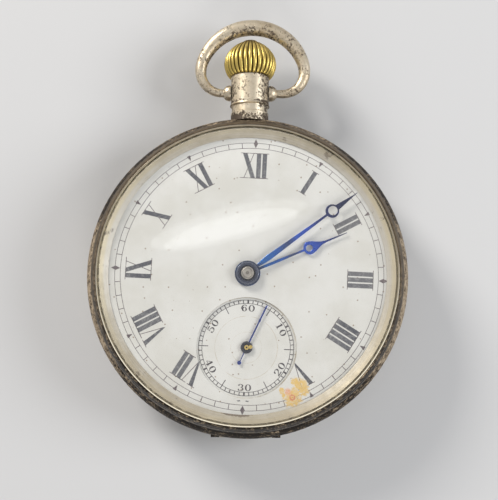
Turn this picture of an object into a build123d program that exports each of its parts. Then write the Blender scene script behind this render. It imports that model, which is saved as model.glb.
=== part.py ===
from build123d import *
import os
from math import acos, atan2, cos, degrees, hypot, pi, radians, sin, sqrt

# An open-face pocket watch with a keyless lever movement. Millimetres.
# Origin: centre of the back cover's flat. +Y: 12 o'clock, towards the bow. +Z: out of the dial.

# ---- Case ----
plate_radius = 21.1
case_bulge = 0.7
case_top_taper = 1.0
bulge_height = 6.5
seam_height = 4.1
band_height = 5.3
cover_wall = 0.6
back_dish_width = 11.3
cover_rim_depth = 1.1
cover_rim_wall = 0.72
lip_wall = 0.55
lip_depth = 0.7
lip_gap = 0.08
inner_cover_gap = 0.2
inner_cover_wall = 0.4
inner_cover_height = 1.6
inner_cover_dish_width = 10.75
inner_cover_rim_drop = 0.8
ledge_depth = 1.8
ledge_wall = 0.4
ledge_width = 0.8
lip_seat_width = 0.95
upper_rim_wall = 1.05
bezel_seat_width = 1.0
upper_rim_depth = 1.0

# ---- Hinge of the two covers, at 6 o'clock ----
knuckle_radius = 0.7
hinge_pin_radius = 0.35
hinge_half_length = 5.4
case_knuckle_length = 1.3
back_knuckle_length = 1.7
knuckle_gap = 0.06
running_gap = 0.04
cut_margin = 1.0
inner_leaf_wall = 0.5
opening_lip_angle = 112.0
opening_lip_length = 5.0
opening_lip_reach = 0.5
opening_lip_height = 0.45

# ---- Bezel and crystal ----
bezel_height = 1.75
bezel_lip_wall = 0.6
bezel_lip_depth = 0.8
bezel_snap_gap = 0.05
bezel_taper = 0.75
bezel_face_width = 0.5
rehaut_slope_width = 1.5
bezel_swell = 0.12
rehaut_clearance = 0.06
rehaut_edge = 0.12
crystal_edge = 0.3
crystal_groove = 0.22
crystal_rise = 2.7
crystal_wall = 0.9

# ---- Pendant, crown and bow ----
stem_height = 6.4
pendant_seat_depth = 1.6
pendant_foot_radius = 2.0
pendant_base_radius = 3.0
pendant_base_sink = 0.55
pendant_base_rise = 0.9
pendant_neck_radius = 2.85
pendant_neck_length = 1.1
pendant_lip_radius = 3.15
pendant_body_radius = 3.03
pendant_body_length = 4.85
pendant_sleeve_radius = 2.45
pendant_sleeve_length = 1.45
pendant_step = 0.15
pendant_cove = 0.45
crown_gap = 0.12
crown_radius = 4.2
crown_foot_radius = 3.4
crown_widest_height = 2.2
crown_length = 6.15
crown_swell = 0.12
crown_button_radius = 1.3
crown_button_rise = 0.2
crown_rings = 5
stem_seat = 1.4
crown_hollow_depth = 1.6
crown_flutes = 28
flute_depth = 0.32
bow_pivot_drop = 2.5
bow_pin_radius = 0.55
bow_pin_depth = 0.8
bow_knob_radius = 1.25
bow_knob_length = 1.2
bow_knob_round = 0.3
bow_knob_shoulder = 1.0
bow_half_width = 8.34
bow_lower_radius = 3.6
bow_side_radius = 5.0
bow_height = 11.0
bow_wire_radius = 1.26
bow_end_radius = 0.62
bow_lean = 0.4

# ---- Dial and hands ----
dial_inset = 0.5
dial_thickness = 0.7
dial_bore = 1.7
seconds_dial_bore = 0.5
seconds_sink_radius = 7.6
seconds_seat_width = 0.4
seconds_sink_depth = 0.35
hand_thickness = 0.15
seconds_hand_lift = 0.18
hour_hand_lift = 0.3
minute_hand_lift = 0.75
cap_lift = 0.35
hour_hand_angle = 67.0
minute_hand_angle = 53.0
seconds_hand_angle = 25.4
minute_hand_inset = 0.55
minute_ring_distance = 16.1
hour_hand_length = 16.5
hour_ring_distance = 10.3
hand_ring_radius = 1.05
ring_overlap = 0.21
minute_ring_hole = 0.7
hour_ring_hole = 0.53
ring_offset = 0.2
minute_stem_width = 0.28
minute_tip_width = 0.8
hour_stem_width = 0.25
hour_tip_width = 0.9
hand_neck_width = 0.4
hand_belly_width = 0.7
hand_belly_distance = 6.0
hand_point_width = 0.08
hand_hub_radius = 1.7
seconds_hand_length = 7.1
seconds_tail_length = 2.6
seconds_stem_width = 0.3
seconds_tail_width = 0.2
seconds_hub_radius = 0.92
seconds_ball_radius = 0.28

# ---- Movement: plate, bridges and cocks ----
plate_drop = 0.4
plate_thickness = 1.8
plate_gap = 0.1
flange_thickness = 0.75
flange_gap = 0.05
bridge_space = 2.3
bridge_thickness = 1.2
bridge_inset = 0.9
bridge_gap = 0.3
bridge_split = -1.7
cock_thickness = 0.9
cock_step = 0.7
cock_radius = 3.6
cock_end_radius = 1.9
cock_foot_distance = 10.2
cock_foot_angle = 99.0
foot_radius = 1.4
foot_inset = 2.84
barrel_foot_distance = 13.31
barrel_foot_angle = 124.3
side_foot_distance = 15.51
side_foot_angle = 2.2
train_foot_distance = 15.81
train_foot_angle = -34.7
escape_foot_distance = 17.33
escape_foot_angle = -123.2
upper_foot_angle = 38.5
lower_foot_angle = -70.0
screw_radius = 0.4
screw_head_radius = 0.8
ratchet_screw_shank = 0.32
low_screw_head = 0.64
screw_stand = 0.1
screw_bite = 0.7
low_head_height = 0.22
case_screw_inset = 0.7
case_screw_angle = 20.0
case_screw_head = 0.95
case_screw_height = 0.3
case_slot_turn = 0.9
case_screw_gap = 0.35
slot_width = 0.22
slot_depth = 0.2
fit_gap = 0.02
jewel_radius = 0.65
jewel_thickness = 0.45
pivot_radius = 0.14
pivot_clearance = 0.05
arbor_radius = 0.35
fourth_arbor_radius = 0.21
centre_hub_radius = 1.3
wheel_hub_radius = 0.9

# ---- Teeth: heights in modules, half widths as shares of a tooth's step ----
wheel_addendum = 1.1
pinion_addendum = 0.8
dedendum = 1.5
tooth_root_share = 0.27
tooth_tip_share = 0.09
leaf_root_share = 0.2
leaf_tip_share = 0.1

# ---- Going train ----
barrel_teeth = 72
centre_pinion_leaves = 10
centre_teeth = 64
third_pinion_leaves = 8
third_teeth = 60
fourth_pinion_leaves = 8
fourth_teeth = 60
escape_pinion_leaves = 6
escape_teeth = 15
barrel_distance = 8.1
barrel_angle = 50.0
third_distance = 6.75
third_to_fourth = 5.6
fourth_distance = 11.22
fourth_to_escape = 5.1
wheel_thickness = 0.25
centre_wheel_lift = 1.85
third_wheel_lift = 0.2
fourth_wheel_lift = 0.9
escape_wheel_lift = 1.45
pinion_overhang = 0.2
centre_arbor_radius = 0.55
spoke_width = 0.4
wheel_rim = 0.55
barrel_lift = 0.1
barrel_height = 1.55
barrel_wall = 0.3
barrel_floor = 0.25
barrel_arbor_radius = 0.9
barrel_tooth_height = 0.5
drum_step = 0.1
arbor_core_radius = 1.7
arbor_pivot_radius = 0.6
arbor_pivot_length = 0.7
mainspring_wall = 0.14
mainspring_turns = 5

# ---- Escapement and balance ----
escape_radius = 3.3
escape_hub = 0.75
escape_root = 2.5
escape_rim = 0.4
escape_toe_drop = 0.14
tooth_back_share = -0.2
tooth_toe_share = 0.08
tooth_heel_share = 0.24
tooth_front_share = 0.04
escape_spokes = 4
balance_x = -10.6
balance_y = -2.6
escape_to_balance = 9.2
balance_radius = 7.5
balance_rim_width = 0.8
balance_rim_height = 0.7
balance_lift = -0.2
balance_screw_count = 12
balance_arm_angle = 25.0
balance_arm_inset = 0.2
balance_arm_thickness = 0.3
balance_arm_width = 0.9
balance_hub_radius = 1.0
staff_seat_radius = 0.8
staff_seat_height = 0.15
collet_radius = 0.85
balance_screw_radius = 0.32
balance_screw_length = 0.5
roller_radius = 1.6
roller_lift = 1.05
roller_thickness = 0.2
impulse_radius = 1.25
impulse_gap = 0.08
fork_lift = 1.4
fork_thickness = 0.35
stone_gap = 0.25
stone_length = 0.9
stone_width = 0.28
stone_setback = 0.3
fork_boss_radius = 0.6
fork_arm_radius = 0.36
fork_arm_spread = 1.06
impulse_side_gap = 0.048
fork_lever_width = 0.4
fork_horn_length = 0.7
fork_horn_width = 1.1
impulse_pin_radius = 0.16
pallet_cock_radius = 0.9
pallet_foot_radius = 1.0
pallet_foot_turn = 60.0
pallet_cock_lift = 0.65
pallet_cock_thickness = 0.5
pallet_foot_distance = 3.7
hairspring_lift = -0.65
hairspring_turns = 5
hairspring_inner = 1.0
hairspring_pitch = 0.44
hairspring_wall = 0.12
hairspring_width = 0.3
hairspring_angle = 200.0
stud_radius = 0.22
regulator_thickness = 0.22
regulator_ring_radius = 1.7
regulator_length = 4.4
regulator_tip_radius = 0.25
regulator_angle = 75.0
cock_boss_radius = 0.95
counterbore_depth = 0.4

# ---- Keyless works and motion works ----
stem_radius = 1.0
stem_pull = 0.6
stem_pivot_radius = 0.45
pinion_seat_radius = 0.8
winding_tooth_depth = 0.55
winding_tooth_length = 1.2
winding_pinion_leaves = 18
winding_pinion_radius = 2.3
winding_pinion_inset = 5.0
winding_pinion_length = 1.85
clutch_radius = 1.6
clutch_length = 1.95
clutch_gap = 0.08
clutch_teeth = 12
clutch_tooth_depth = 0.3
clutch_tooth_length = 0.4
clutch_waist_radius = 1.1
clutch_groove_place = 0.7
clutch_groove_width = 0.6
square_half = 0.55
groove_radius = 0.6
groove_inset = 2.7
groove_length = 0.8
stem_block_half = 3.0
stem_block_inset = 0.55
end_block_half = 0.9
end_block_length = 0.6
keyless_pocket_inset = 1.15
keyless_pocket_length = 6.65
keyless_pocket_half = 5.0
keyless_pocket_corner = 0.8
crown_wheel_reach = 0.3484
crown_wheel_teeth = 28
ratchet_teeth = 32
keyless_wheel_thickness = 0.5
keyless_wheel_sink = 0.15
recess_gap = 0.15
recess_floor_gap = 0.05
crown_core_radius = 1.2
core_overlap = 0.6
wheel_screw_height = 0.3
ratchet_screw_radius = 1.3
ratchet_slot_turn = 0.7
crown_wheel_slot_turn = 2.2
click_distance = 6.4
click_angle = -35.0
click_beak_angle = -8.0
click_gap = 0.08
click_boss_radius = 0.75
click_slot_turn = 0.4
click_beak_radius = 0.3
click_lift = 6.0
click_spring_reach = 3.6
click_spring_angle = 35.0
click_spring_lead = 0.25
click_spring_wall = 0.12
click_spring_foot = 0.45
click_spring_share = 0.9
lever_arm = 3.6
lever_thickness = 0.3
lever_boss_radius = 0.6
lever_tip_radius = 0.45
lever_tail_radius = 0.36
lever_tail_length = 2.8
yoke_tail_radius = 0.315
yoke_tail_length = 3.8
tail_lean = 0.5
nub_radius = 0.28
yoke_pin_radius = 0.2
keyless_clearance = 0.05
yoke_arm = 4.0
cannon_leaves = 12
minute_wheel_teeth = 36
minute_pinion_leaves = 10
hour_wheel_teeth = 40
setting_wheel_teeth = 26
setting_wheel_inset = 3.53
motion_depth = 1.0
cannon_leaf_height = 0.4
hour_wheel_drop = 0.5
post_radius = 0.42
cannon_bore_gap = 0.03
cannon_cap = 0.25
cannon_radius = 0.95
hour_pipe_wall = 0.35

# ---- Heights worked out from the stack ----
case_top = seam_height + band_height
ledge_top = case_top - ledge_depth
plate_low = ledge_top - plate_drop
plate_top = plate_low + plate_thickness
dial_top = plate_top + dial_thickness
seconds_dial_top = dial_top - seconds_sink_depth
bridge_inner = plate_low - bridge_space
bridge_outer = bridge_inner - bridge_thickness
motion_floor = plate_top - motion_depth
seconds_hand_low = seconds_dial_top + seconds_hand_lift
hour_hand_low = dial_top + hour_hand_lift
minute_hand_low = dial_top + minute_hand_lift
cannon_top = minute_hand_low + hand_thickness + cap_lift
centre_wheel_low = bridge_inner + centre_wheel_lift
third_wheel_low = bridge_inner + third_wheel_lift
fourth_wheel_low = bridge_inner + fourth_wheel_lift
escape_wheel_low = bridge_inner + escape_wheel_lift
barrel_low = bridge_inner + barrel_lift
barrel_top = barrel_low + barrel_height
fork_low = bridge_inner + fork_lift
roller_low = bridge_inner + roller_lift
balance_low = bridge_inner + balance_lift
hairspring_low = bridge_inner + hairspring_lift
pallet_cock_low = bridge_inner + pallet_cock_lift
cock_outer = bridge_outer - cock_step
keyless_wheel_low = bridge_outer + keyless_wheel_sink

# ---- Radii worked out from one another ----
ledge_inner = plate_radius + plate_gap
lower_bore_radius = ledge_inner + ledge_width
lip_inner = lower_bore_radius + lip_seat_width
lip_outer = lip_inner + lip_wall
cover_rim_inner = lip_outer + lip_gap
case_foot_radius = cover_rim_inner + cover_rim_wall
case_radius = case_foot_radius + case_bulge
case_top_radius = case_radius - case_top_taper
inner_cover_radius = lip_inner - inner_cover_gap
back_flat_radius = case_foot_radius - back_dish_width
inner_cover_flat_radius = inner_cover_radius - inner_cover_dish_width
upper_rim_inner = case_top_radius - upper_rim_wall
flange_bore_radius = upper_rim_inner - bezel_seat_width
flange_radius = flange_bore_radius - flange_gap
dial_radius = flange_bore_radius - dial_inset
minute_hand_length = dial_radius - minute_hand_inset
bridge_radius = plate_radius - bridge_inset
case_screw_distance = plate_radius - case_screw_inset
foot_distance = plate_radius - foot_inset
hinge_y = -case_foot_radius
hinge_z = seam_height
bezel_shoulder_radius = case_top_radius - bezel_taper
bezel_opening_radius = bezel_shoulder_radius - bezel_face_width
rehaut_radius = bezel_opening_radius - rehaut_slope_width
bezel_lip_outer = upper_rim_inner - bezel_snap_gap
bezel_lip_inner = bezel_lip_outer - bezel_lip_wall
pendant_seat = case_radius - pendant_seat_depth
pendant_base_start = case_radius - pendant_base_sink
pendant_base_top = case_radius + pendant_base_rise
pendant_neck_top = pendant_base_top + pendant_neck_length
pendant_shoulder = pendant_neck_top + pendant_body_length
pendant_sleeve_top = pendant_shoulder + pendant_sleeve_length
bow_pivot = pendant_shoulder - bow_pivot_drop
bow_top = bow_pivot + bow_height
winding_pinion_start = plate_radius - winding_pinion_inset
winding_pinion_end = winding_pinion_start + winding_pinion_length
groove_start = plate_radius - groove_inset
keyless_pocket_end = plate_radius - keyless_pocket_inset
clutch_start = winding_pinion_start - clutch_gap - clutch_length
stem_end_wall = clutch_start - stem_pull - clutch_gap
stem_square_start = stem_end_wall + clutch_gap
stem_inner_end = stem_end_wall - end_block_length - stem_pull
crown_foot = pendant_shoulder + crown_gap

stem_axis = Axis((0, 0, stem_height), (0, 1, 0))
stem_plane = Plane.XY.offset(stem_height)
pieces = {}


# ---- Geometry helpers ----
def at(centre, distance, angle):
    """The point at a distance and an angle (radians, from +X) from a centre."""
    return (centre[0] + distance * cos(angle), centre[1] + distance * sin(angle))


def bearing(start, end):
    """The angle of the line from one point to another."""
    return atan2(end[1] - start[1], end[0] - start[0])


def span(start, end):
    """The distance between two points."""
    return hypot(end[0] - start[0], end[1] - start[1])


def meeting_point(first, first_distance, second, second_distance, side):
    """The point at stated distances from two others, to the left (+1) or right (-1) of their line."""
    apart = span(first, second)
    along = (first_distance**2 - second_distance**2 + apart**2) / (2 * apart)
    across = sqrt(max(first_distance**2 - along**2, 0))
    foot = at(first, along, bearing(first, second))
    return at(foot, side * across, bearing(first, second) + pi / 2)


def flat_plane(centre, height, angle=0.0):
    """A plane facing +Z with its origin at a centre and its X axis at an angle."""
    return Plane(origin=(centre[0], centre[1], height), x_dir=(cos(angle), sin(angle), 0), z_dir=(0, 0, 1))


def tooth_points(teeth, root, tip, phase, root_share=tooth_root_share, tip_share=tooth_tip_share):
    """The outline of a toothed wheel: each tooth is a tapering flank pair with a flat tip."""
    step = 2 * pi / teeth
    corners = ((root, -root_share), (tip, -tip_share), (tip, tip_share), (root, root_share))
    return [
        at((0, 0), radius, phase + (index + share) * step)
        for index in range(teeth)
        for radius, share in corners
    ]


def mated_phase(phase, teeth, mate_teeth, line):
    """The phase of a wheel whose teeth stand in the gaps of its mate along the line of centres."""
    return line + pi - ((phase - line) * teeth + pi) / mate_teeth


def edge_wheel_distance(edge, mate, teeth, mate_teeth):
    """How far up the Y axis a wheel stands whose pitch circle meets its mate's and ends at an edge."""
    ratio = ((teeth + mate_teeth) / teeth) ** 2
    middle = edge * ratio - mate[1]
    rest = edge**2 * ratio - mate[0] ** 2 - mate[1] ** 2
    return (middle - sqrt(middle**2 - (ratio - 1) * rest)) / (ratio - 1)


def pair_radii(distance, driver_teeth, driven_teeth):
    """The module and pitch radii of two meshing wheels at a centre distance."""
    module = 2 * distance / (driver_teeth + driven_teeth)
    return module, module * driver_teeth / 2, module * driven_teeth / 2


def tapered_bar(start, start_radius, end, end_radius):
    """Two discs joined by their outer tangents, drawn into the sketch that is open."""
    line = bearing(start, end)
    lean = acos((start_radius - end_radius) / span(start, end))
    with BuildLine() as sides:
        Polyline(
            at(start, start_radius, line + lean),
            at(end, end_radius, line + lean),
            at(end, end_radius, line - lean),
            at(start, start_radius, line - lean),
            close=True,
        )
    make_face(sides.line)
    with Locations(start):
        Circle(start_radius)
    with Locations(end):
        Circle(end_radius)


# ---- Where the axes of the movement stand ----
centre = (0.0, 0.0)
balance_centre = (balance_x, balance_y)
fourth_centre = (0.0, -fourth_distance)
third_centre = meeting_point(fourth_centre, third_to_fourth, centre, third_distance, -1)
barrel_centre = at(centre, barrel_distance, radians(barrel_angle))
escape_centre = meeting_point(fourth_centre, fourth_to_escape, balance_centre, escape_to_balance, 1)
stone_angle = pi / 6
pallet_distance = escape_radius / cos(stone_angle)
lever_line = bearing(escape_centre, balance_centre)
pallet_centre = at(escape_centre, pallet_distance, lever_line)
crown_wheel_edge = winding_pinion_start + crown_wheel_reach
crown_wheel_distance = edge_wheel_distance(crown_wheel_edge, barrel_centre, crown_wheel_teeth, ratchet_teeth)
crown_wheel_centre = (0.0, crown_wheel_distance)
motion_chain = 1 + (minute_wheel_teeth + setting_wheel_teeth) / (cannon_leaves + minute_wheel_teeth)
minute_wheel_distance = (clutch_start - setting_wheel_inset) / motion_chain
minute_wheel_centre = (0.0, minute_wheel_distance)
cock_foot = at(balance_centre, cock_foot_distance, radians(cock_foot_angle))
pallet_foot = at(pallet_centre, pallet_foot_distance, lever_line + radians(pallet_foot_turn))
barrel_feet = (
    at(centre, barrel_foot_distance, radians(barrel_foot_angle)),
    at(centre, side_foot_distance, radians(side_foot_angle)),
    at(centre, foot_distance, radians(upper_foot_angle)),
)
train_feet = (
    at(centre, train_foot_distance, radians(train_foot_angle)),
    at(centre, foot_distance, radians(lower_foot_angle)),
    at(centre, escape_foot_distance, radians(escape_foot_angle)),
)

# ---- Sizes of the meshing wheels ----
barrel_module, barrel_pitch, centre_pinion_pitch = pair_radii(
    barrel_distance, barrel_teeth, centre_pinion_leaves
)
centre_module, centre_pitch, third_pinion_pitch = pair_radii(
    third_distance, centre_teeth, third_pinion_leaves
)
third_module, third_pitch, fourth_pinion_pitch = pair_radii(
    third_to_fourth, third_teeth, fourth_pinion_leaves
)
fourth_module, fourth_pitch, escape_pinion_pitch = pair_radii(
    fourth_to_escape, fourth_teeth, escape_pinion_leaves
)
cannon_module, cannon_pitch, minute_wheel_pitch = pair_radii(
    minute_wheel_distance, cannon_leaves, minute_wheel_teeth
)
hour_module, minute_pinion_pitch, hour_wheel_pitch = pair_radii(
    minute_wheel_distance, minute_pinion_leaves, hour_wheel_teeth
)
setting_wheel_pitch = cannon_module * setting_wheel_teeth / 2
setting_wheel_centre = (0.0, minute_wheel_distance + minute_wheel_pitch + setting_wheel_pitch)
winding_distance = span(crown_wheel_centre, barrel_centre)
ratchet_module, crown_wheel_pitch, ratchet_pitch = pair_radii(
    winding_distance, crown_wheel_teeth, ratchet_teeth
)


# ---- Case ----
def case_outline(gap=0.0):
    """The bulged outside of the case band: an arc down to the back seam and an arc up to the bezel seam."""
    widest = (case_radius + gap, bulge_height)
    TangentArc(widest, (case_foot_radius + gap, seam_height), tangent=(0, -1))
    TangentArc(widest, (case_top_radius + gap, case_top), tangent=(0, 1))


def knuckle(low_x, high_x, radius, mode=Mode.ADD):
    """A cylinder on the hinge line between two places along it."""
    with BuildSketch(Plane.YZ.offset(low_x)) as section:
        with Locations((hinge_y, hinge_z)):
            Circle(radius)
    extrude(section.sketch, amount=high_x - low_x, mode=mode)


def hinge_leaf(low_x, high_x, low_z, high_z, reach, mode=Mode.ADD):
    """The block that joins a knuckle to its cover or to the band, ending at a reach from the centre."""
    with BuildSketch(Plane.YZ.offset(low_x)) as section:
        with Locations((hinge_y, (low_z + high_z) / 2)):
            Rectangle(-hinge_y - reach, high_z - low_z, align=(Align.MIN, Align.CENTER))
    extrude(section.sketch, amount=high_x - low_x, mode=mode)


def radial_bore(start, end, radius, mode=Mode.SUBTRACT):
    """A cylinder on the stem's axis between two distances from the centre."""
    with BuildSketch(Plane.XZ.offset(-start)) as section:
        with Locations((0, stem_height)):
            Circle(radius)
    extrude(section.sketch, amount=start - end, mode=mode)


case_knuckle_start = hinge_half_length - case_knuckle_length
back_knuckle_end = case_knuckle_start - knuckle_gap
back_knuckle_start = back_knuckle_end - back_knuckle_length
inner_knuckle_end = back_knuckle_start - knuckle_gap
knuckle_clearance = knuckle_radius + knuckle_gap
pin_bore = hinge_pin_radius + running_gap


def mirrored(low, high):
    """A stretch along the hinge and its twin on the other side of the middle."""
    return ((low, high), (-high, -low))


with BuildPart() as case_middle:
    with BuildSketch(Plane.XZ):
        with BuildLine():
            case_outline()
            Polyline(
                (case_top_radius, case_top),
                (upper_rim_inner, case_top),
                (upper_rim_inner, case_top - upper_rim_depth),
                (flange_bore_radius, case_top - upper_rim_depth),
                (flange_bore_radius, ledge_top),
                (ledge_inner, ledge_top),
                (ledge_inner, ledge_top - ledge_wall),
                (lower_bore_radius, ledge_top - ledge_wall),
                (lower_bore_radius, seam_height),
                (lip_inner, seam_height),
                (lip_inner, seam_height - lip_depth),
                (lip_outer, seam_height - lip_depth),
                (lip_outer, seam_height),
                (case_foot_radius, seam_height),
            )
        make_face()
    revolve(axis=Axis.Z)
    knuckle(-case_knuckle_start, case_knuckle_start, knuckle_clearance, Mode.SUBTRACT)
    for low_x, high_x in mirrored(case_knuckle_start, hinge_half_length):
        knuckle(low_x, high_x, knuckle_radius)
        hinge_leaf(low_x, high_x, seam_height, seam_height + knuckle_radius, lip_outer)
        knuckle(low_x, high_x, pin_bore, Mode.SUBTRACT)
    inner_notch = inner_knuckle_end + knuckle_gap
    with BuildSketch(Plane.XY.offset(seam_height)):
        with Locations((0, hinge_y)):
            Rectangle(2 * inner_notch, -hinge_y - lower_bore_radius, align=(Align.CENTER, Align.MIN))
    extrude(amount=-lip_depth, mode=Mode.SUBTRACT)
    radial_bore(pendant_seat, case_radius + cut_margin, pendant_foot_radius + fit_gap)
    radial_bore(ledge_inner - cut_margin, case_radius, stem_radius + running_gap)
pieces["case_middle"] = case_middle


def dome_height(radius, flat_radius, rim_radius, rise):
    """The height at a radius of a dish that leaves its flat at a tangent and rises to its rim."""
    run = rim_radius - flat_radius
    dome = (run**2 + rise**2) / (2 * rise)
    return dome - sqrt(dome**2 - max(radius - flat_radius, 0) ** 2)


def dished_profile(low, wall, flat_radius, rim_radius, rim_inner, rim_low, rim_top):
    """Half of a cover's section: a flat centre, a dished wall and an upright rim."""
    rise = rim_low - low
    inner_rim_low = low + wall + dome_height(rim_inner, flat_radius, rim_radius, rise)
    with BuildLine() as section:
        Line((0, low), (flat_radius, low))
        TangentArc((flat_radius, low), (rim_radius, rim_low), tangent=(1, 0))
        Polyline(
            (rim_radius, rim_low),
            (rim_radius, rim_top),
            (rim_inner, rim_top),
            (rim_inner, inner_rim_low),
        )
        TangentArc((flat_radius, low + wall), (rim_inner, inner_rim_low), tangent=(1, 0))
        Polyline((flat_radius, low + wall), (0, low + wall), (0, low))
    make_face(section.line)


with BuildPart() as back_cover:
    with BuildSketch(Plane.XZ):
        dished_profile(
            0,
            cover_wall,
            back_flat_radius,
            case_foot_radius,
            cover_rim_inner,
            seam_height - cover_rim_depth,
            seam_height,
        )
    revolve(axis=Axis.Z)
    for low_x, high_x in mirrored(case_knuckle_start - knuckle_gap, hinge_half_length + knuckle_gap):
        knuckle(low_x, high_x, knuckle_clearance, Mode.SUBTRACT)
    knuckle(-inner_notch, inner_notch, knuckle_clearance, Mode.SUBTRACT)
    hinge_leaf(-inner_notch, inner_notch, seam_height - lip_depth, seam_height, lip_outer, Mode.SUBTRACT)
    for low_x, high_x in mirrored(back_knuckle_start, back_knuckle_end):
        knuckle(low_x, high_x, knuckle_radius)
        hinge_leaf(low_x, high_x, seam_height - lip_depth, seam_height, cover_rim_inner)
        knuckle(low_x, high_x, pin_bore, Mode.SUBTRACT)
    with BuildSketch(Plane.XY.offset(seam_height - opening_lip_height - knuckle_gap)):
        with PolarLocations(case_foot_radius, 1, start_angle=opening_lip_angle):
            Rectangle(2 * opening_lip_reach, opening_lip_length)
        Circle(cover_rim_inner + knuckle_gap, mode=Mode.SUBTRACT)
    extrude(amount=opening_lip_height)
pieces["back_cover"] = back_cover

with BuildPart() as inner_cover:
    inner_rim_low = seam_height - inner_cover_rim_drop
    with BuildSketch(Plane.XZ):
        dished_profile(
            inner_cover_height,
            inner_cover_wall,
            inner_cover_flat_radius,
            inner_cover_radius,
            inner_cover_radius - inner_cover_wall,
            inner_rim_low,
            seam_height - knuckle_gap,
        )
    revolve(axis=Axis.Z)
    leaf_low = seam_height - inner_leaf_wall
    leaf_end = inner_cover_radius - inner_cover_wall
    hinge_leaf(-inner_knuckle_end, inner_knuckle_end, leaf_low, seam_height - knuckle_gap, leaf_end)
    knuckle(-inner_knuckle_end, inner_knuckle_end, knuckle_radius)
    knuckle(-inner_knuckle_end, inner_knuckle_end, pin_bore, Mode.SUBTRACT)
pieces["inner_cover"] = inner_cover

with BuildPart() as hinge_pin:
    knuckle(-hinge_half_length, hinge_half_length, hinge_pin_radius)
pieces["hinge_pin"] = hinge_pin

# ---- Bezel and crystal ----
bezel_top = case_top + bezel_height
groove_top = bezel_top - crystal_groove
groove_low = groove_top - crystal_edge
crystal_radius = bezel_opening_radius + crystal_groove - running_gap

with BuildPart() as bezel:
    with BuildSketch(Plane.XZ):
        with BuildLine():
            ThreePointArc(
                (case_top_radius, case_top),
                ((case_top_radius + bezel_shoulder_radius) / 2 + bezel_swell, (case_top + bezel_top) / 2),
                (bezel_shoulder_radius, bezel_top),
            )
            Polyline(
                (bezel_shoulder_radius, bezel_top),
                (bezel_opening_radius, bezel_top),
                (bezel_opening_radius, groove_top),
                (bezel_opening_radius + crystal_groove, groove_top),
                (bezel_opening_radius + crystal_groove, groove_low),
                (bezel_opening_radius - crystal_groove, groove_low),
                (rehaut_radius, dial_top + rehaut_clearance + rehaut_edge),
                (rehaut_radius, dial_top + rehaut_clearance),
                (bezel_lip_inner, dial_top + rehaut_clearance),
                (bezel_lip_inner, case_top - bezel_lip_depth),
                (bezel_lip_outer, case_top - bezel_lip_depth),
                (bezel_lip_outer, case_top),
                (case_top_radius, case_top),
            )
        make_face()
    revolve(axis=Axis.Z)
pieces["bezel"] = bezel

with BuildPart() as crystal:
    dome_edge = bezel_opening_radius - running_gap
    dome_inner_edge = dome_edge - crystal_groove - running_gap
    with BuildSketch(Plane.XZ):
        with BuildLine():
            TangentArc((0, groove_top + crystal_rise), (dome_edge, groove_top), tangent=(1, 0))
            Polyline(
                (dome_edge, groove_top),
                (crystal_radius, groove_top),
                (crystal_radius, groove_low),
                (dome_inner_edge, groove_low),
            )
            TangentArc(
                (0, groove_top + crystal_rise - crystal_wall), (dome_inner_edge, groove_low), tangent=(1, 0)
            )
            Line((0, groove_top + crystal_rise - crystal_wall), (0, groove_top + crystal_rise))
        make_face()
    revolve(axis=Axis.Z)
pieces["crystal"] = crystal

# ---- Pendant, crown and bow ----
with BuildPart() as pendant:
    with BuildSketch(stem_plane):
        with BuildLine():
            Polyline(
                (0, pendant_base_start),
                (pendant_base_radius, pendant_base_start),
                (pendant_base_radius, pendant_base_top),
                (pendant_neck_radius, pendant_base_top + pendant_step),
                (pendant_neck_radius, pendant_neck_top),
                (pendant_lip_radius, pendant_neck_top + pendant_step),
                (pendant_body_radius, pendant_neck_top + pendant_cove),
                (pendant_body_radius, pendant_shoulder),
                (pendant_sleeve_radius, pendant_shoulder),
                (pendant_sleeve_radius, pendant_sleeve_top),
                (0, pendant_sleeve_top),
                close=True,
            )
        make_face()
    revolve(axis=stem_axis)
    with BuildSketch(Plane.XZ):
        with BuildLine():
            case_outline(fit_gap)
            Polyline(
                (case_top_radius + fit_gap, case_top),
                (case_top_radius + fit_gap, case_top + cut_margin),
                (0, case_top + cut_margin),
                (0, seam_height - cut_margin),
                (case_foot_radius + fit_gap, seam_height - cut_margin),
                (case_foot_radius + fit_gap, seam_height),
            )
        make_face()
    revolve(axis=Axis.Z, mode=Mode.SUBTRACT)
    radial_bore(pendant_seat, pendant_base_top, pendant_foot_radius, Mode.ADD)
    radial_bore(pendant_seat, pendant_sleeve_top, stem_radius + running_gap)
    for side in (-1, 1):
        with BuildSketch(Plane.YZ.offset(side * (pendant_body_radius - bow_pin_depth - running_gap))):
            with Locations((bow_pivot, stem_height)):
                Circle(bow_pin_radius + running_gap)
        extrude(amount=side * 2 * bow_pin_depth, mode=Mode.SUBTRACT)
pieces["pendant"] = pendant

crown_upper = crown_length - crown_widest_height
crown_last_angle = acos(crown_button_radius / crown_radius)
crown_sections = [
    (0.0, crown_foot_radius),
    (crown_widest_height / 2, (crown_foot_radius + crown_radius) / 2 + crown_swell),
]
for ring in range(crown_rings):
    swing = crown_last_angle * ring / (crown_rings - 1)
    crown_sections.append((crown_widest_height + crown_upper * sin(swing), crown_radius * cos(swing)))


def crown_plane(height):
    """The plane across the stem's axis at a height above the crown's foot."""
    return Plane(origin=(0, crown_foot + height, stem_height), x_dir=(1, 0, 0), z_dir=(0, 1, 0))


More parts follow.
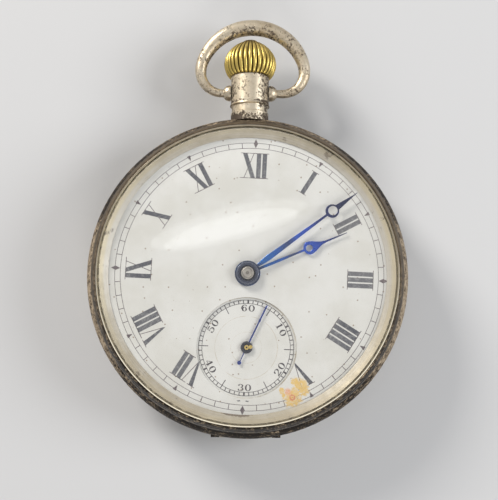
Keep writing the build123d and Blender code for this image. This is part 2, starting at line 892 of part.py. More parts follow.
with BuildPart() as crown:
    for height, radius in crown_sections:
        flute_root = radius - flute_depth * radius / crown_radius
        flute_radii = [radius, flute_root] * crown_flutes
        corners = [at((0, 0), reach, pi * turn / crown_flutes) for turn, reach in enumerate(flute_radii)]
        with BuildSketch(crown_plane(height)):
            with BuildLine():
                Polyline(corners, close=True)
            make_face()
    loft(ruled=True)
    with BuildSketch(stem_plane):
        with BuildLine():
            button_foot = crown_foot + crown_sections[-1][0]
            button_top = button_foot + crown_button_rise
            Polyline((crown_button_radius, button_foot), (0, button_foot), (0, button_top))
            TangentArc((0, button_top), (crown_button_radius, button_foot), tangent=(1, 0))
        make_face()
    revolve(axis=stem_axis)
    radial_bore(crown_foot, crown_foot + crown_hollow_depth, pendant_sleeve_radius + crown_gap)
    radial_bore(crown_foot, crown_foot + crown_hollow_depth + stem_seat, stem_radius + fit_gap)
pieces["crown"] = crown

with BuildPart() as bow:
    bow_end = pendant_body_radius + running_gap + bow_knob_length
    # The loop is a three-centred arch on two smaller quarter rounds that turn in to the pins.
    bow_side = bow_pivot + bow_lower_radius
    side_centre = bow_half_width - bow_side_radius
    crest = bow_top - bow_side
    top_radius = (side_centre**2 + crest**2 - bow_side_radius**2) / (2 * (crest - bow_side_radius))
    top_centre = bow_top - top_radius
    join_angle = atan2(bow_side - top_centre, side_centre)
    join_turn = degrees(join_angle)
    with BuildLine(stem_plane) as bow_path:
        for side, lower_start, side_start in ((1, -90, 0), (-1, 180, 180 - join_turn)):
            corner_x = side * (bow_half_width - bow_lower_radius) + bow_lean
            Line((side * bow_end, bow_pivot), (corner_x, bow_pivot))
            CenterArc((corner_x, bow_side), bow_lower_radius, lower_start, 90)
            CenterArc((side * side_centre + bow_lean, bow_side), bow_side_radius, side_start, join_turn)
        CenterArc((bow_lean, top_centre), top_radius, join_turn, 180 - 2 * join_turn)
    bow_wire = bow_path.wire()
    bow_waist_radius = (bow_end_radius + 2 * bow_wire_radius) / 3
    bow_radii = (bow_end_radius, bow_waist_radius, bow_wire_radius, bow_waist_radius, bow_end_radius)
    for quarter, radius in enumerate(bow_radii):
        place = quarter / 4
        with BuildSketch(Plane(origin=bow_wire @ place, z_dir=bow_wire % place)):
            Circle(radius)
    sweep(path=bow_wire, multisection=True)
    for side in (-1, 1):
        with BuildSketch(stem_plane):
            with BuildLine():
                knob_start = side * (pendant_body_radius + running_gap)
                knob_end = knob_start + side * bow_knob_length
                pin_end = side * (pendant_body_radius - bow_pin_depth)
                Polyline(
                    (pin_end, bow_pivot),
                    (pin_end, bow_pivot + bow_pin_radius),
                    (knob_start, bow_pivot + bow_pin_radius),
                    (knob_start, bow_pivot + bow_knob_radius),
                )
                ThreePointArc(
                    (knob_start, bow_pivot + bow_knob_radius),
                    (knob_end - side * bow_knob_round, bow_pivot + bow_knob_shoulder),
                    (knob_end, bow_pivot + bow_end_radius),
                )
                Polyline((knob_end, bow_pivot + bow_end_radius), (knob_end, bow_pivot), (pin_end, bow_pivot))
            make_face()
        revolve(axis=Axis((0, bow_pivot, stem_height), (side, 0, 0)))
pieces["bow"] = bow

# ---- Dial ----
seconds_seat_radius = seconds_sink_radius + seconds_seat_width

with BuildPart() as dial:
    with BuildSketch(Plane.XY.offset(plate_top)):
        Circle(dial_radius)
        Circle(dial_bore, mode=Mode.SUBTRACT)
        with Locations(fourth_centre):
            Circle(seconds_sink_radius, mode=Mode.SUBTRACT)
    extrude(amount=dial_thickness)
    with BuildSketch(Plane.XY.offset(plate_top)):
        with Locations(fourth_centre):
            Circle(seconds_seat_radius)
    extrude(amount=dial_thickness - seconds_sink_depth, mode=Mode.SUBTRACT)
pieces["dial"] = dial

with BuildPart() as seconds_dial:
    with BuildSketch(flat_plane(fourth_centre, plate_top)):
        Circle(seconds_seat_radius - fit_gap)
        Circle(seconds_dial_bore, mode=Mode.SUBTRACT)
    extrude(amount=dial_thickness - seconds_sink_depth - fit_gap)
pieces["seconds_dial"] = seconds_dial


# ---- Hands ----
def hand_plane(centre_point, low, clock_angle):
    """The plane of a hand: its X axis points from the hub to the tip."""
    return flat_plane(centre_point, low, radians(90 - clock_angle))


def moon_hand(low, clock_angle, length, ring_distance, ring_hole, hole_shift, stem_width, tip_width, bore):
    """A hand with a thin waisted stem, an open ring and a pointed tip."""
    with BuildPart() as hand:
        with BuildSketch(hand_plane(centre, low, clock_angle)):
            Circle(hand_hub_radius)
            with BuildLine():
                Polyline(
                    (0, -hand_neck_width / 2),
                    (hand_belly_distance, -hand_belly_width / 2),
                    (ring_distance, -stem_width / 2),
                    (ring_distance, stem_width / 2),
                    (hand_belly_distance, hand_belly_width / 2),
                    (0, hand_neck_width / 2),
                    close=True,
                )
            make_face()
            with BuildLine():
                Polyline(
                    (ring_distance + hand_ring_radius - ring_overlap, -tip_width / 2),
                    (length, -hand_point_width / 2),
                    (length, hand_point_width / 2),
                    (ring_distance + hand_ring_radius - ring_overlap, tip_width / 2),
                    close=True,
                )
            make_face()
            with Locations((ring_distance, 0)):
                Circle(hand_ring_radius)
            with Locations((ring_distance + hole_shift, 0)):
                Circle(ring_hole, mode=Mode.SUBTRACT)
            Circle(bore, mode=Mode.SUBTRACT)
        extrude(amount=hand_thickness)
    return hand


cannon_bore = centre_arbor_radius + cannon_bore_gap
hour_pipe_bore = cannon_radius + cannon_bore_gap
hour_pipe_radius = hour_pipe_bore + hour_pipe_wall
pieces["minute_hand"] = moon_hand(
    minute_hand_low,
    minute_hand_angle,
    minute_hand_length,
    minute_ring_distance,
    minute_ring_hole,
    ring_offset,
    minute_stem_width,
    minute_tip_width,
    cannon_radius + fit_gap,
)
pieces["hour_hand"] = moon_hand(
    hour_hand_low,
    hour_hand_angle,
    hour_hand_length,
    hour_ring_distance,
    hour_ring_hole,
    -ring_offset,
    hour_stem_width,
    hour_tip_width,
    hour_pipe_radius + fit_gap,
)

with BuildPart() as seconds_hand:
    with BuildSketch(hand_plane(fourth_centre, seconds_hand_low, seconds_hand_angle)):
        with BuildLine():
            Polyline(
                (-seconds_tail_length, -seconds_tail_width / 2),
                (0, -seconds_stem_width / 2),
                (seconds_hand_length, -hand_point_width / 2),
                (seconds_hand_length, hand_point_width / 2),
                (0, seconds_stem_width / 2),
                (-seconds_tail_length, seconds_tail_width / 2),
                close=True,
            )
        make_face()
        Circle(seconds_hub_radius)
        with Locations((-seconds_tail_length, 0)):
            Circle(seconds_ball_radius)
        Circle(fourth_arbor_radius + fit_gap, mode=Mode.SUBTRACT)
    extrude(amount=hand_thickness)
pieces["seconds_hand"] = seconds_hand


# ---- Wheels, pinions and arbors ----
def toothed_face(
    teeth, pitch, module, phase, addendum, root_share=tooth_root_share, tip_share=tooth_tip_share
):
    """A toothed wheel's outline, drawn as a face into the sketch that is open."""
    root = pitch - dedendum * module
    tip = pitch + addendum * module
    with BuildLine() as outline:
        Polyline(tooth_points(teeth, root, tip, phase, root_share, tip_share), close=True)
    make_face(outline.line)


def leafed_face(leaves, pitch, module, phase):
    """A pinion's outline, with slimmer teeth than a wheel's, drawn into the sketch that is open."""
    toothed_face(leaves, pitch, module, phase, pinion_addendum, leaf_root_share, leaf_tip_share)


def spoked_wheel(place, low, thickness, teeth, module, pitch, phase, bore, hub, spokes=5):
    """A thin wheel with straight crossings between its hub and its rim."""
    rim_inner = pitch - dedendum * module - wheel_rim
    with BuildPart() as wheel:
        with BuildSketch(flat_plane(place, low)):
            toothed_face(teeth, pitch, module, phase, wheel_addendum)
            Circle(rim_inner, mode=Mode.SUBTRACT)
            with PolarLocations(0, spokes):
                Rectangle(rim_inner + wheel_rim / 2, spoke_width, align=(Align.MIN, Align.CENTER))
            Circle(hub)
            Circle(bore, mode=Mode.SUBTRACT)
        extrude(amount=thickness)
    return wheel


def disc_wheel(place, low, thickness, teeth, module, pitch, phase, bore, addendum=wheel_addendum):
    """A plain toothed disc with a round bore."""
    with BuildPart() as wheel:
        with BuildSketch(flat_plane(place, low)):
            toothed_face(teeth, pitch, module, phase, addendum)
            Circle(bore, mode=Mode.SUBTRACT)
        extrude(amount=thickness)
    return wheel


def cylinder(place, low, high, radius, mode=Mode.ADD):
    """An upright cylinder between two heights, in the part that is open."""
    with BuildSketch(flat_plane(place, low)) as section:
        Circle(radius)
    extrude(section.sketch, amount=high - low, mode=mode)


def pinion_arbor(place, leaves, module, pitch, phase, leaf_low, leaf_high, stations):
    """A leafed pinion on its arbor. Each station of the arbor is a radius between two heights."""
    with BuildPart() as arbor:
        with BuildSketch(flat_plane(place, leaf_low)):
            leafed_face(leaves, pitch, module, phase)
        extrude(amount=leaf_high - leaf_low)
        for radius, low, high in stations:
            cylinder(place, low, high, radius)
    return arbor


jewel_hole = jewel_radius + fit_gap
head_hole = screw_head_radius + fit_gap
shank_hole = screw_radius + fit_gap
pivot_low = bridge_outer + pivot_clearance
shoulder_low = bridge_outer + jewel_thickness + pivot_clearance
shoulder_high = plate_low - pivot_clearance
pivot_high = plate_low + jewel_thickness
winding_line = bearing(crown_wheel_centre, barrel_centre)
ratchet_phase = mated_phase(0.0, crown_wheel_teeth, ratchet_teeth, winding_line)
barrel_phase = mated_phase(0.0, centre_pinion_leaves, barrel_teeth, bearing(centre, barrel_centre))
third_pinion_phase = mated_phase(0.0, centre_teeth, third_pinion_leaves, bearing(centre, third_centre))
third_line = bearing(third_centre, fourth_centre)
fourth_line = bearing(fourth_centre, escape_centre)
fourth_pinion_phase = mated_phase(0.0, third_teeth, fourth_pinion_leaves, third_line)
escape_pinion_phase = mated_phase(0.0, fourth_teeth, escape_pinion_leaves, fourth_line)

pieces["centre_wheel"] = spoked_wheel(
    centre,
    centre_wheel_low,
    wheel_thickness,
    centre_teeth,
    centre_module,
    centre_pitch,
    0.0,
    centre_arbor_radius + fit_gap,
    centre_hub_radius,
)
pieces["centre_arbor"] = pinion_arbor(
    centre,
    centre_pinion_leaves,
    barrel_module,
    centre_pinion_pitch,
    0.0,
    barrel_top - barrel_tooth_height - pinion_overhang,
    centre_wheel_low - fit_gap,
    (
        (centre_arbor_radius, pivot_low, cannon_top - cannon_cap - running_gap),
    ),
)
pieces["third_wheel"] = spoked_wheel(
    third_centre,
    third_wheel_low,
    wheel_thickness,
    third_teeth,
    third_module,
    third_pitch,
    0.0,
    arbor_radius + fit_gap,
    wheel_hub_radius,
)
pieces["third_pinion"] = pinion_arbor(
    third_centre,
    third_pinion_leaves,
    centre_module,
    third_pinion_pitch,
    third_pinion_phase,
    centre_wheel_low - pinion_overhang,
    centre_wheel_low + wheel_thickness + pinion_overhang / 2,
    (
        (pivot_radius, pivot_low, pivot_high),
        (arbor_radius, shoulder_low, shoulder_high),
    ),
)
pieces["fourth_wheel"] = spoked_wheel(
    fourth_centre,
    fourth_wheel_low,
    wheel_thickness,
    fourth_teeth,
    fourth_module,
    fourth_pitch,
    0.0,
    arbor_radius + fit_gap,
    wheel_hub_radius,
)
pieces["fourth_pinion"] = pinion_arbor(
    fourth_centre,
    fourth_pinion_leaves,
    third_module,
    fourth_pinion_pitch,
    fourth_pinion_phase,
    third_wheel_low - pinion_overhang / 2,
    fourth_wheel_low - pinion_overhang,
    (
        (pivot_radius, pivot_low, shoulder_low),
        (arbor_radius, shoulder_low, shoulder_high),
        (fourth_arbor_radius, shoulder_high, seconds_hand_low + hand_thickness),
    ),
)
pieces["escape_pinion"] = pinion_arbor(
    escape_centre,
    escape_pinion_leaves,
    fourth_module,
    escape_pinion_pitch,
    escape_pinion_phase,
    fourth_wheel_low - pinion_overhang / 2,
    escape_wheel_low - pinion_overhang / 2,
    (
        (pivot_radius, pivot_low, pivot_high),
        (arbor_radius, shoulder_low, shoulder_high),
    ),
)


barrel_root = barrel_pitch - dedendum * barrel_module
drum_radius = barrel_root - drum_step
arbor_bore = barrel_arbor_radius + running_gap

with BuildPart() as barrel_drum:
    with BuildSketch(flat_plane(barrel_centre, barrel_top - barrel_tooth_height)):
        toothed_face(barrel_teeth, barrel_pitch, barrel_module, barrel_phase, wheel_addendum)
    extrude(amount=barrel_tooth_height)
    cylinder(barrel_centre, barrel_low, barrel_top - barrel_tooth_height, drum_radius)
    cylinder(barrel_centre, barrel_low, barrel_top - barrel_floor, drum_radius - barrel_wall, Mode.SUBTRACT)
    cylinder(barrel_centre, barrel_low, barrel_top, arbor_bore, Mode.SUBTRACT)
pieces["barrel_drum"] = barrel_drum

with BuildPart() as barrel_cover:
    cylinder(barrel_centre, barrel_low, barrel_low + barrel_floor, drum_radius - barrel_wall - fit_gap)
    cylinder(barrel_centre, barrel_low, barrel_low + barrel_floor, arbor_bore, Mode.SUBTRACT)
pieces["barrel_cover"] = barrel_cover

ratchet_top = keyless_wheel_low + keyless_wheel_thickness
spring_low = barrel_low + barrel_floor + running_gap
spring_top = barrel_top - barrel_floor - running_gap
with BuildPart() as barrel_arbor:
    cylinder(barrel_centre, ratchet_top + fit_gap, plate_low - pivot_clearance, barrel_arbor_radius)
    cylinder(barrel_centre, spring_low, spring_top, arbor_core_radius)
    cylinder(barrel_centre, plate_low - pivot_clearance, plate_low + arbor_pivot_length, arbor_pivot_radius)
    with BuildSketch(flat_plane(barrel_centre, keyless_wheel_low)):
        Rectangle(2 * square_half, 2 * square_half)
    extrude(amount=keyless_wheel_thickness + 2 * fit_gap)
    screw_hole = ratchet_screw_shank + fit_gap
    cylinder(barrel_centre, keyless_wheel_low, ratchet_top + screw_radius, screw_hole, Mode.SUBTRACT)
pieces["barrel_arbor"] = barrel_arbor


def spiral_strip(inner, pitch, turns, wall, steps=18):
    """The outline of a flat coiled strip, drawn as a face into the sketch that is open."""
    count = int(turns * steps)
    turn_angles = [2 * pi * step / steps for step in range(count + 1)]
    inside = [at((0, 0), inner + pitch * turn / (2 * pi), turn) for turn in turn_angles]
    outside = [at((0, 0), inner + wall + pitch * turn / (2 * pi), turn) for turn in turn_angles]
    with BuildLine() as outline:
        Polyline(outside + inside[::-1], close=True)
    make_face(outline.line)


with BuildPart() as mainspring:
    spring_room = drum_radius - barrel_wall - arbor_core_radius - mainspring_wall - 4 * running_gap
    with BuildSketch(flat_plane(barrel_centre, spring_low)):
        spiral_strip(
            arbor_core_radius + 2 * running_gap,
            spring_room / mainspring_turns,
            mainspring_turns,
            mainspring_wall,
        )
    extrude(amount=spring_top - spring_low)
pieces["mainspring"] = mainspring

with BuildPart() as ratchet_wheel:
    with BuildSketch(flat_plane(barrel_centre, keyless_wheel_low)):
        toothed_face(ratchet_teeth, ratchet_pitch, ratchet_module, ratchet_phase, pinion_addendum)
        Rectangle(2 * (square_half + fit_gap), 2 * (square_half + fit_gap), mode=Mode.SUBTRACT)
    extrude(amount=keyless_wheel_thickness)
pieces["ratchet_wheel"] = ratchet_wheel

pieces["crown_wheel"] = disc_wheel(
    crown_wheel_centre,
    keyless_wheel_low,
    keyless_wheel_thickness,
    crown_wheel_teeth,
    ratchet_module,
    crown_wheel_pitch,
    0.0,
    crown_core_radius + running_gap,
    pinion_addendum,
)


# ---- Screws ----
def slotted_screw(place, head_low, head_radius, head_height, shank_radius, shank_top, angle=0.0):
    """A screw with its slotted head towards the back of the watch, in the part that is open."""
    cylinder(place, head_low, head_low + head_height, head_radius)
    cylinder(place, head_low + head_height, shank_top, shank_radius)
    with BuildSketch(flat_plane(place, head_low, angle)) as slot:
        Rectangle(3 * head_radius, slot_width)
    extrude(slot.sketch, amount=slot_depth, mode=Mode.SUBTRACT)


with BuildPart() as ratchet_screw:
    slotted_screw(
        barrel_centre,
        keyless_wheel_low - wheel_screw_height,
        ratchet_screw_radius,
        wheel_screw_height,
        ratchet_screw_shank,
        ratchet_top,
        ratchet_slot_turn,
    )
pieces["ratchet_screw"] = ratchet_screw

with BuildPart() as crown_wheel_core:
    slotted_screw(
        crown_wheel_centre,
        keyless_wheel_low - wheel_screw_height,
        crown_core_radius + core_overlap,
        wheel_screw_height,
        crown_core_radius,
        ratchet_top + recess_floor_gap,
        crown_wheel_slot_turn,
    )
pieces["crown_wheel_core"] = crown_wheel_core

# ---- Escapement ----
with BuildPart() as escape_wheel:
    with BuildSketch(flat_plane(escape_centre, escape_wheel_low)):
        tooth_step = 2 * pi / escape_teeth
        club_tooth = (
            (escape_root, tooth_back_share),
            (escape_radius, tooth_toe_share),
            (escape_radius - escape_toe_drop, tooth_heel_share),
            (escape_root, tooth_front_share),
        )
        with BuildLine():
            Polyline(
                [
                    at((0, 0), radius, (tooth + share) * tooth_step)
                    for tooth in range(escape_teeth)
                    for radius, share in club_tooth
                ],
                close=True,
            )
        make_face()
        Circle(escape_root - escape_rim, mode=Mode.SUBTRACT)
        with PolarLocations(0, escape_spokes):
            Rectangle(escape_root - escape_rim / 2, spoke_width, align=(Align.MIN, Align.CENTER))
        Circle(escape_hub)
        Circle(arbor_radius + fit_gap, mode=Mode.SUBTRACT)
    extrude(amount=wheel_thickness)
pieces["escape_wheel"] = escape_wheel

pallet_to_balance = escape_to_balance - pallet_distance
fork_reach = pallet_to_balance - impulse_radius
fork_slot = 2 * (impulse_pin_radius + impulse_side_gap)
stone_middle = escape_radius + stone_gap + stone_length / 2
stone_places = [
    (stone_middle * cos(side * stone_angle) - pallet_distance, stone_middle * sin(side * stone_angle))
    for side in (-1, 1)
]


def stone_outline(grow, mode):
    """The two pallet stones in plan, each pointing at the escape wheel's centre."""
    for (stone_x, stone_y), side in zip(stone_places, (-1, 1)):
        with Locations((stone_x, stone_y)):
            Rectangle(stone_length, stone_width + 2 * grow, rotation=degrees(side * stone_angle), mode=mode)


with BuildPart() as pallet_fork:
    with BuildSketch(flat_plane(pallet_centre, fork_low, lever_line)):
        for stone_x, stone_y in stone_places:
            arm_end = (stone_x + stone_setback, stone_y * fork_arm_spread)
            tapered_bar((0, 0), fork_boss_radius, arm_end, fork_arm_radius)
        Rectangle(fork_reach, fork_lever_width, align=(Align.MIN, Align.CENTER))
        with Locations((fork_reach, 0)):
            Rectangle(fork_horn_length, fork_horn_width)
            Rectangle(fork_horn_length, fork_slot, align=(Align.MIN, Align.CENTER), mode=Mode.SUBTRACT)
        stone_outline(fit_gap, Mode.SUBTRACT)
    extrude(amount=fork_thickness)
    fork_shoulder = pallet_cock_low + pallet_cock_thickness + pivot_clearance
    cylinder(pallet_centre, fork_shoulder, shoulder_high, arbor_radius)
    cylinder(pallet_centre, pallet_cock_low + pivot_clearance, pivot_high, pivot_radius)
pieces["pallet_fork"] = pallet_fork

with BuildPart() as pallet_stones:
    with BuildSketch(flat_plane(pallet_centre, escape_wheel_low, lever_line)):
        stone_outline(0, Mode.ADD)
    extrude(amount=wheel_thickness)
pieces["pallet_stones"] = pallet_stones

with BuildPart() as pallet_cock:
    with BuildSketch(Plane.XY.offset(pallet_cock_low)):
        tapered_bar(pallet_foot, pallet_foot_radius, pallet_centre, pallet_cock_radius)
    extrude(amount=pallet_cock_thickness)
    cylinder(pallet_foot, pallet_cock_low + pallet_cock_thickness, plate_low, pallet_cock_radius)
    cylinder(pallet_foot, pallet_cock_low, plate_low, shank_hole, Mode.SUBTRACT)
    cylinder(pallet_centre, pallet_cock_low, plate_low, pivot_radius + fit_gap, Mode.SUBTRACT)
pieces["pallet_cock"] = pallet_cock

# ---- Balance ----
balance_arm_low = balance_low + balance_arm_inset
balance_rim_top = balance_low + balance_rim_height
with BuildPart() as balance_wheel:
    cylinder(balance_centre, balance_low, balance_rim_top, balance_radius)
    cylinder(balance_centre, balance_low, balance_rim_top, balance_radius - balance_rim_width, Mode.SUBTRACT)
    with BuildSketch(flat_plane(balance_centre, balance_arm_low, radians(balance_arm_angle))):
        Rectangle(2 * balance_radius - balance_rim_width, balance_arm_width)
        Circle(balance_hub_radius)
        Circle(arbor_radius + fit_gap, mode=Mode.SUBTRACT)
    extrude(amount=balance_arm_thickness)
pieces["balance_wheel"] = balance_wheel

with BuildPart() as balance_screws:
    for turn in range(balance_screw_count):
        screw_line = 2 * pi * (turn + 0.5) / balance_screw_count + radians(balance_arm_angle)
        root = at(balance_centre, balance_radius, screw_line)
        screw_plane = Plane(
            origin=(root[0], root[1], balance_low + balance_rim_height / 2),
            z_dir=(cos(screw_line), sin(screw_line), 0),
        )
        with BuildSketch(screw_plane):
            Circle(balance_screw_radius)
        extrude(amount=balance_screw_length)
pieces["balance_screws"] = balance_screws

with BuildPart() as balance_staff:
    cylinder(balance_centre, cock_outer + pivot_clearance, pivot_high, pivot_radius)
    cylinder(balance_centre, cock_outer + jewel_thickness + pivot_clearance, shoulder_high, arbor_radius)
    cylinder(balance_centre, hairspring_low, hairspring_low + hairspring_width, collet_radius)
    cylinder(balance_centre, balance_arm_low - staff_seat_height, balance_arm_low, staff_seat_radius)
pieces["balance_staff"] = balance_staff

roller_top = roller_low + roller_thickness
impulse_place = at(balance_centre, impulse_radius, lever_line + pi)
with BuildPart() as roller:
    cylinder(balance_centre, roller_low, roller_top, roller_radius)
    cylinder(impulse_place, roller_top, fork_low - impulse_gap, impulse_pin_radius)
    cylinder(balance_centre, roller_low, roller_top, arbor_radius + fit_gap, Mode.SUBTRACT)
pieces["roller"] = roller

hairspring_end = hairspring_inner + hairspring_pitch * hairspring_turns + hairspring_wall
stud_place = at(balance_centre, hairspring_end + stud_radius + running_gap, radians(hairspring_angle))
with BuildPart() as hairspring:
    with BuildSketch(flat_plane(balance_centre, hairspring_low, radians(hairspring_angle))):
        spiral_strip(hairspring_inner, hairspring_pitch, hairspring_turns, hairspring_wall)
    extrude(amount=hairspring_width)
pieces["hairspring"] = hairspring

with BuildPart() as hairspring_stud:
    cylinder(stud_place, cock_outer + cock_thickness, hairspring_low + hairspring_width, stud_radius)
pieces["hairspring_stud"] = hairspring_stud

regulator_low = cock_outer - regulator_thickness - fit_gap
with BuildPart() as regulator:
    with BuildSketch(flat_plane(balance_centre, regulator_low, radians(regulator_angle))):
        tapered_bar((0, 0), regulator_ring_radius, (regulator_length, 0), regulator_tip_radius)
        Circle(cock_boss_radius + running_gap, mode=Mode.SUBTRACT)
    extrude(amount=regulator_thickness)
pieces["regulator"] = regulator

with BuildPart() as balance_cock:
    with BuildSketch(Plane.XY.offset(cock_outer)):
        tapered_bar(balance_centre, cock_radius, cock_foot, cock_end_radius)
    extrude(amount=cock_thickness)
    cylinder(balance_centre, regulator_low, cock_outer, cock_boss_radius)
    cylinder(cock_foot, cock_outer + cock_thickness, plate_low, cock_end_radius)
    cylinder(balance_centre, regulator_low, cock_outer + cock_thickness, jewel_hole, Mode.SUBTRACT)
    cylinder(cock_foot, cock_outer, cock_outer + counterbore_depth, head_hole, Mode.SUBTRACT)
    cylinder(cock_foot, cock_outer, plate_low, shank_hole, Mode.SUBTRACT)
pieces["balance_cock"] = balance_cock

# ---- Stem, winding pinion and clutch ----
stem_outer_end = crown_foot + crown_hollow_depth + stem_seat - running_gap
pinion_bore = pinion_seat_radius + cannon_bore_gap
with BuildPart() as winding_stem:
    radial_bore(stem_inner_end, stem_square_start, stem_pivot_radius, Mode.ADD)
    with BuildSketch(Plane.XZ.offset(-stem_square_start)):
        with Locations((0, stem_height)):
            Rectangle(2 * square_half, 2 * square_half)
    extrude(amount=stem_square_start - winding_pinion_start)
    radial_bore(winding_pinion_start, winding_pinion_end + clutch_gap, pinion_seat_radius, Mode.ADD)
    radial_bore(winding_pinion_end + clutch_gap, groove_start, stem_radius, Mode.ADD)
    radial_bore(groove_start, groove_start + groove_length, groove_radius, Mode.ADD)
    radial_bore(groove_start + groove_length, stem_outer_end, stem_radius, Mode.ADD)
pieces["winding_stem"] = winding_stem


def stem_toothed(start, length, teeth, root, tip, phase):
    """A toothed cylinder on the stem's axis, in the part that is open."""
    plane = Plane(origin=(0, start, stem_height), x_dir=(1, 0, 0), z_dir=(0, 1, 0))
    with BuildSketch(plane) as section:
        with BuildLine():
            Polyline(tooth_points(teeth, root, tip, phase, leaf_root_share, leaf_tip_share), close=True)
        make_face()
    extrude(section.sketch, amount=length)


with BuildPart() as winding_pinion:
    pinion_root = winding_pinion_radius - winding_tooth_depth
    tooth_phase = pi / 2 + pi / winding_pinion_leaves
    stem_toothed(
        winding_pinion_start,
        winding_tooth_length,
        winding_pinion_leaves,
        pinion_root,
        winding_pinion_radius,
        tooth_phase,
    )
    radial_bore(winding_pinion_start + winding_tooth_length, winding_pinion_end, pinion_root, Mode.ADD)
    radial_bore(winding_pinion_start, winding_pinion_end, pinion_bore)
pieces["winding_pinion"] = winding_pinion

clutch_groove_start = clutch_start + clutch_groove_place
clutch_groove_end = clutch_groove_start + clutch_groove_width
clutch_root = clutch_radius - clutch_tooth_depth
with BuildPart() as clutch_wheel:
    stem_toothed(clutch_start, clutch_tooth_length, clutch_teeth, clutch_root, clutch_radius, 0.0)
    radial_bore(clutch_start + clutch_tooth_length, clutch_groove_start, clutch_root, Mode.ADD)
    radial_bore(clutch_groove_start, clutch_groove_end, clutch_waist_radius, Mode.ADD)
    radial_bore(clutch_groove_end, clutch_start + clutch_length, clutch_radius, Mode.ADD)
    with BuildSketch(Plane.XZ.offset(-clutch_start)):
        with Locations((0, stem_height)):
            Rectangle(2 * (square_half + running_gap), 2 * (square_half + running_gap))
    extrude(amount=-clutch_length, mode=Mode.SUBTRACT)
pieces["clutch_wheel"] = clutch_wheel

lever_low = motion_floor + keyless_clearance
nub_place = (0.0, groove_start + groove_length / 2)
lever_pivot = (lever_arm, nub_place[1] + stem_pull / 2)
yoke_pin_place = (0.0, clutch_groove_start + clutch_groove_width / 2)
yoke_pivot = (-yoke_arm, yoke_pin_place[1] - stem_pull / 2)
lever_tail = (lever_pivot[0] - tail_lean, lever_pivot[1] - lever_tail_length)
yoke_tail = (yoke_pivot[0] + tail_lean, yoke_pivot[1] + yoke_tail_length)

with BuildPart() as setting_lever:
    with BuildSketch(Plane.XY.offset(lever_low)):
        tapered_bar(lever_pivot, lever_boss_radius, nub_place, lever_tip_radius)
        tapered_bar(lever_pivot, lever_boss_radius, lever_tail, lever_tail_radius)
    extrude(amount=lever_thickness)
    cylinder(nub_place, stem_height + groove_radius + keyless_clearance, lever_low, nub_radius)
    cylinder(lever_pivot, plate_low + keyless_clearance, lever_low, nub_radius)
pieces["setting_lever"] = setting_lever

with BuildPart() as yoke:
    with BuildSketch(Plane.XY.offset(lever_low)):
        tapered_bar(yoke_pivot, lever_boss_radius, yoke_pin_place, lever_tail_radius)
        tapered_bar(yoke_pivot, lever_boss_radius, yoke_tail, yoke_tail_radius)
    extrude(amount=lever_thickness)
    yoke_pin_low = stem_height + clutch_waist_radius + keyless_clearance
    cylinder(yoke_pin_place, yoke_pin_low, lever_low, yoke_pin_radius)
    cylinder(yoke_pivot, plate_low + keyless_clearance, lever_low, nub_radius)
pieces["yoke"] = yoke

# ---- Motion works under the dial ----
motion_low = motion_floor + keyless_clearance
minute_phase = mated_phase(0.0, cannon_leaves, minute_wheel_teeth, pi / 2)
hour_phase = mated_phase(0.0, minute_pinion_leaves, hour_wheel_teeth, -pi / 2)
setting_phase = mated_phase(minute_phase, minute_wheel_teeth, setting_wheel_teeth, pi / 2)
hour_wheel_low = plate_top - hour_wheel_drop

with BuildPart() as cannon_pinion:
    with BuildSketch(Plane.XY.offset(motion_low)):
        leafed_face(cannon_leaves, cannon_pitch, cannon_module, 0.0)
    extrude(amount=cannon_leaf_height)
    cylinder(centre, motion_low, cannon_top, cannon_radius)
    cylinder(centre, motion_low, cannon_top - cannon_cap, cannon_bore, Mode.SUBTRACT)
pieces["cannon_pinion"] = cannon_pinion

with BuildPart() as minute_wheel:
    with BuildSketch(flat_plane(minute_wheel_centre, motion_low)):
        toothed_face(minute_wheel_teeth, minute_wheel_pitch, cannon_module, minute_phase, pinion_addendum)
    extrude(amount=wheel_thickness)
    with BuildSketch(flat_plane(minute_wheel_centre, motion_low + wheel_thickness)):
        leafed_face(minute_pinion_leaves, minute_pinion_pitch, hour_module, 0.0)
    extrude(amount=plate_top - motion_low - wheel_thickness - pivot_clearance)
    cylinder(minute_wheel_centre, motion_low, plate_top, post_radius + running_gap, Mode.SUBTRACT)
pieces["minute_wheel"] = minute_wheel

pieces["hour_wheel"] = disc_wheel(
    centre,
    hour_wheel_low,
    wheel_thickness,
    hour_wheel_teeth,
    hour_module,
    hour_wheel_pitch,
    hour_phase,
    hour_pipe_bore,
    pinion_addendum,
)
with pieces["hour_wheel"]:
    cylinder(centre, hour_wheel_low + wheel_thickness, hour_hand_low + hand_thickness, hour_pipe_radius)
    cylinder(centre, hour_wheel_low, hour_hand_low + hand_thickness, hour_pipe_bore, Mode.SUBTRACT)

pieces["setting_wheel"] = disc_wheel(
    setting_wheel_centre,
    motion_low,
    wheel_thickness,
    setting_wheel_teeth,
    cannon_module,
    setting_wheel_pitch,
    setting_phase,
    post_radius + running_gap,
    pinion_addendum,
)

# ---- Click and its spring ----
click_pivot = at(barrel_centre, click_distance, radians(click_angle))
ratchet_tip = ratchet_pitch + pinion_addendum * ratchet_module
beak_place = at(barrel_centre, ratchet_tip + click_gap + click_beak_radius, radians(click_beak_angle))
spring_foot = at(click_pivot, click_spring_reach, radians(click_spring_angle))
click_length = span(click_pivot, beak_place)
click_line = bearing(click_pivot, beak_place)
lifted_line = click_line - radians(click_lift)
lifted_beak = at(click_pivot, click_length, lifted_line)
spring_tip = at(click_pivot, click_length * click_spring_share, lifted_line - click_spring_lead)

with BuildPart() as click:
    with BuildSketch(Plane.XY.offset(keyless_wheel_low)):
        tapered_bar(click_pivot, click_boss_radius, beak_place, click_beak_radius)
        with Locations(click_pivot):
            Circle(screw_radius + running_gap, mode=Mode.SUBTRACT)
    extrude(amount=keyless_wheel_thickness)
pieces["click"] = click

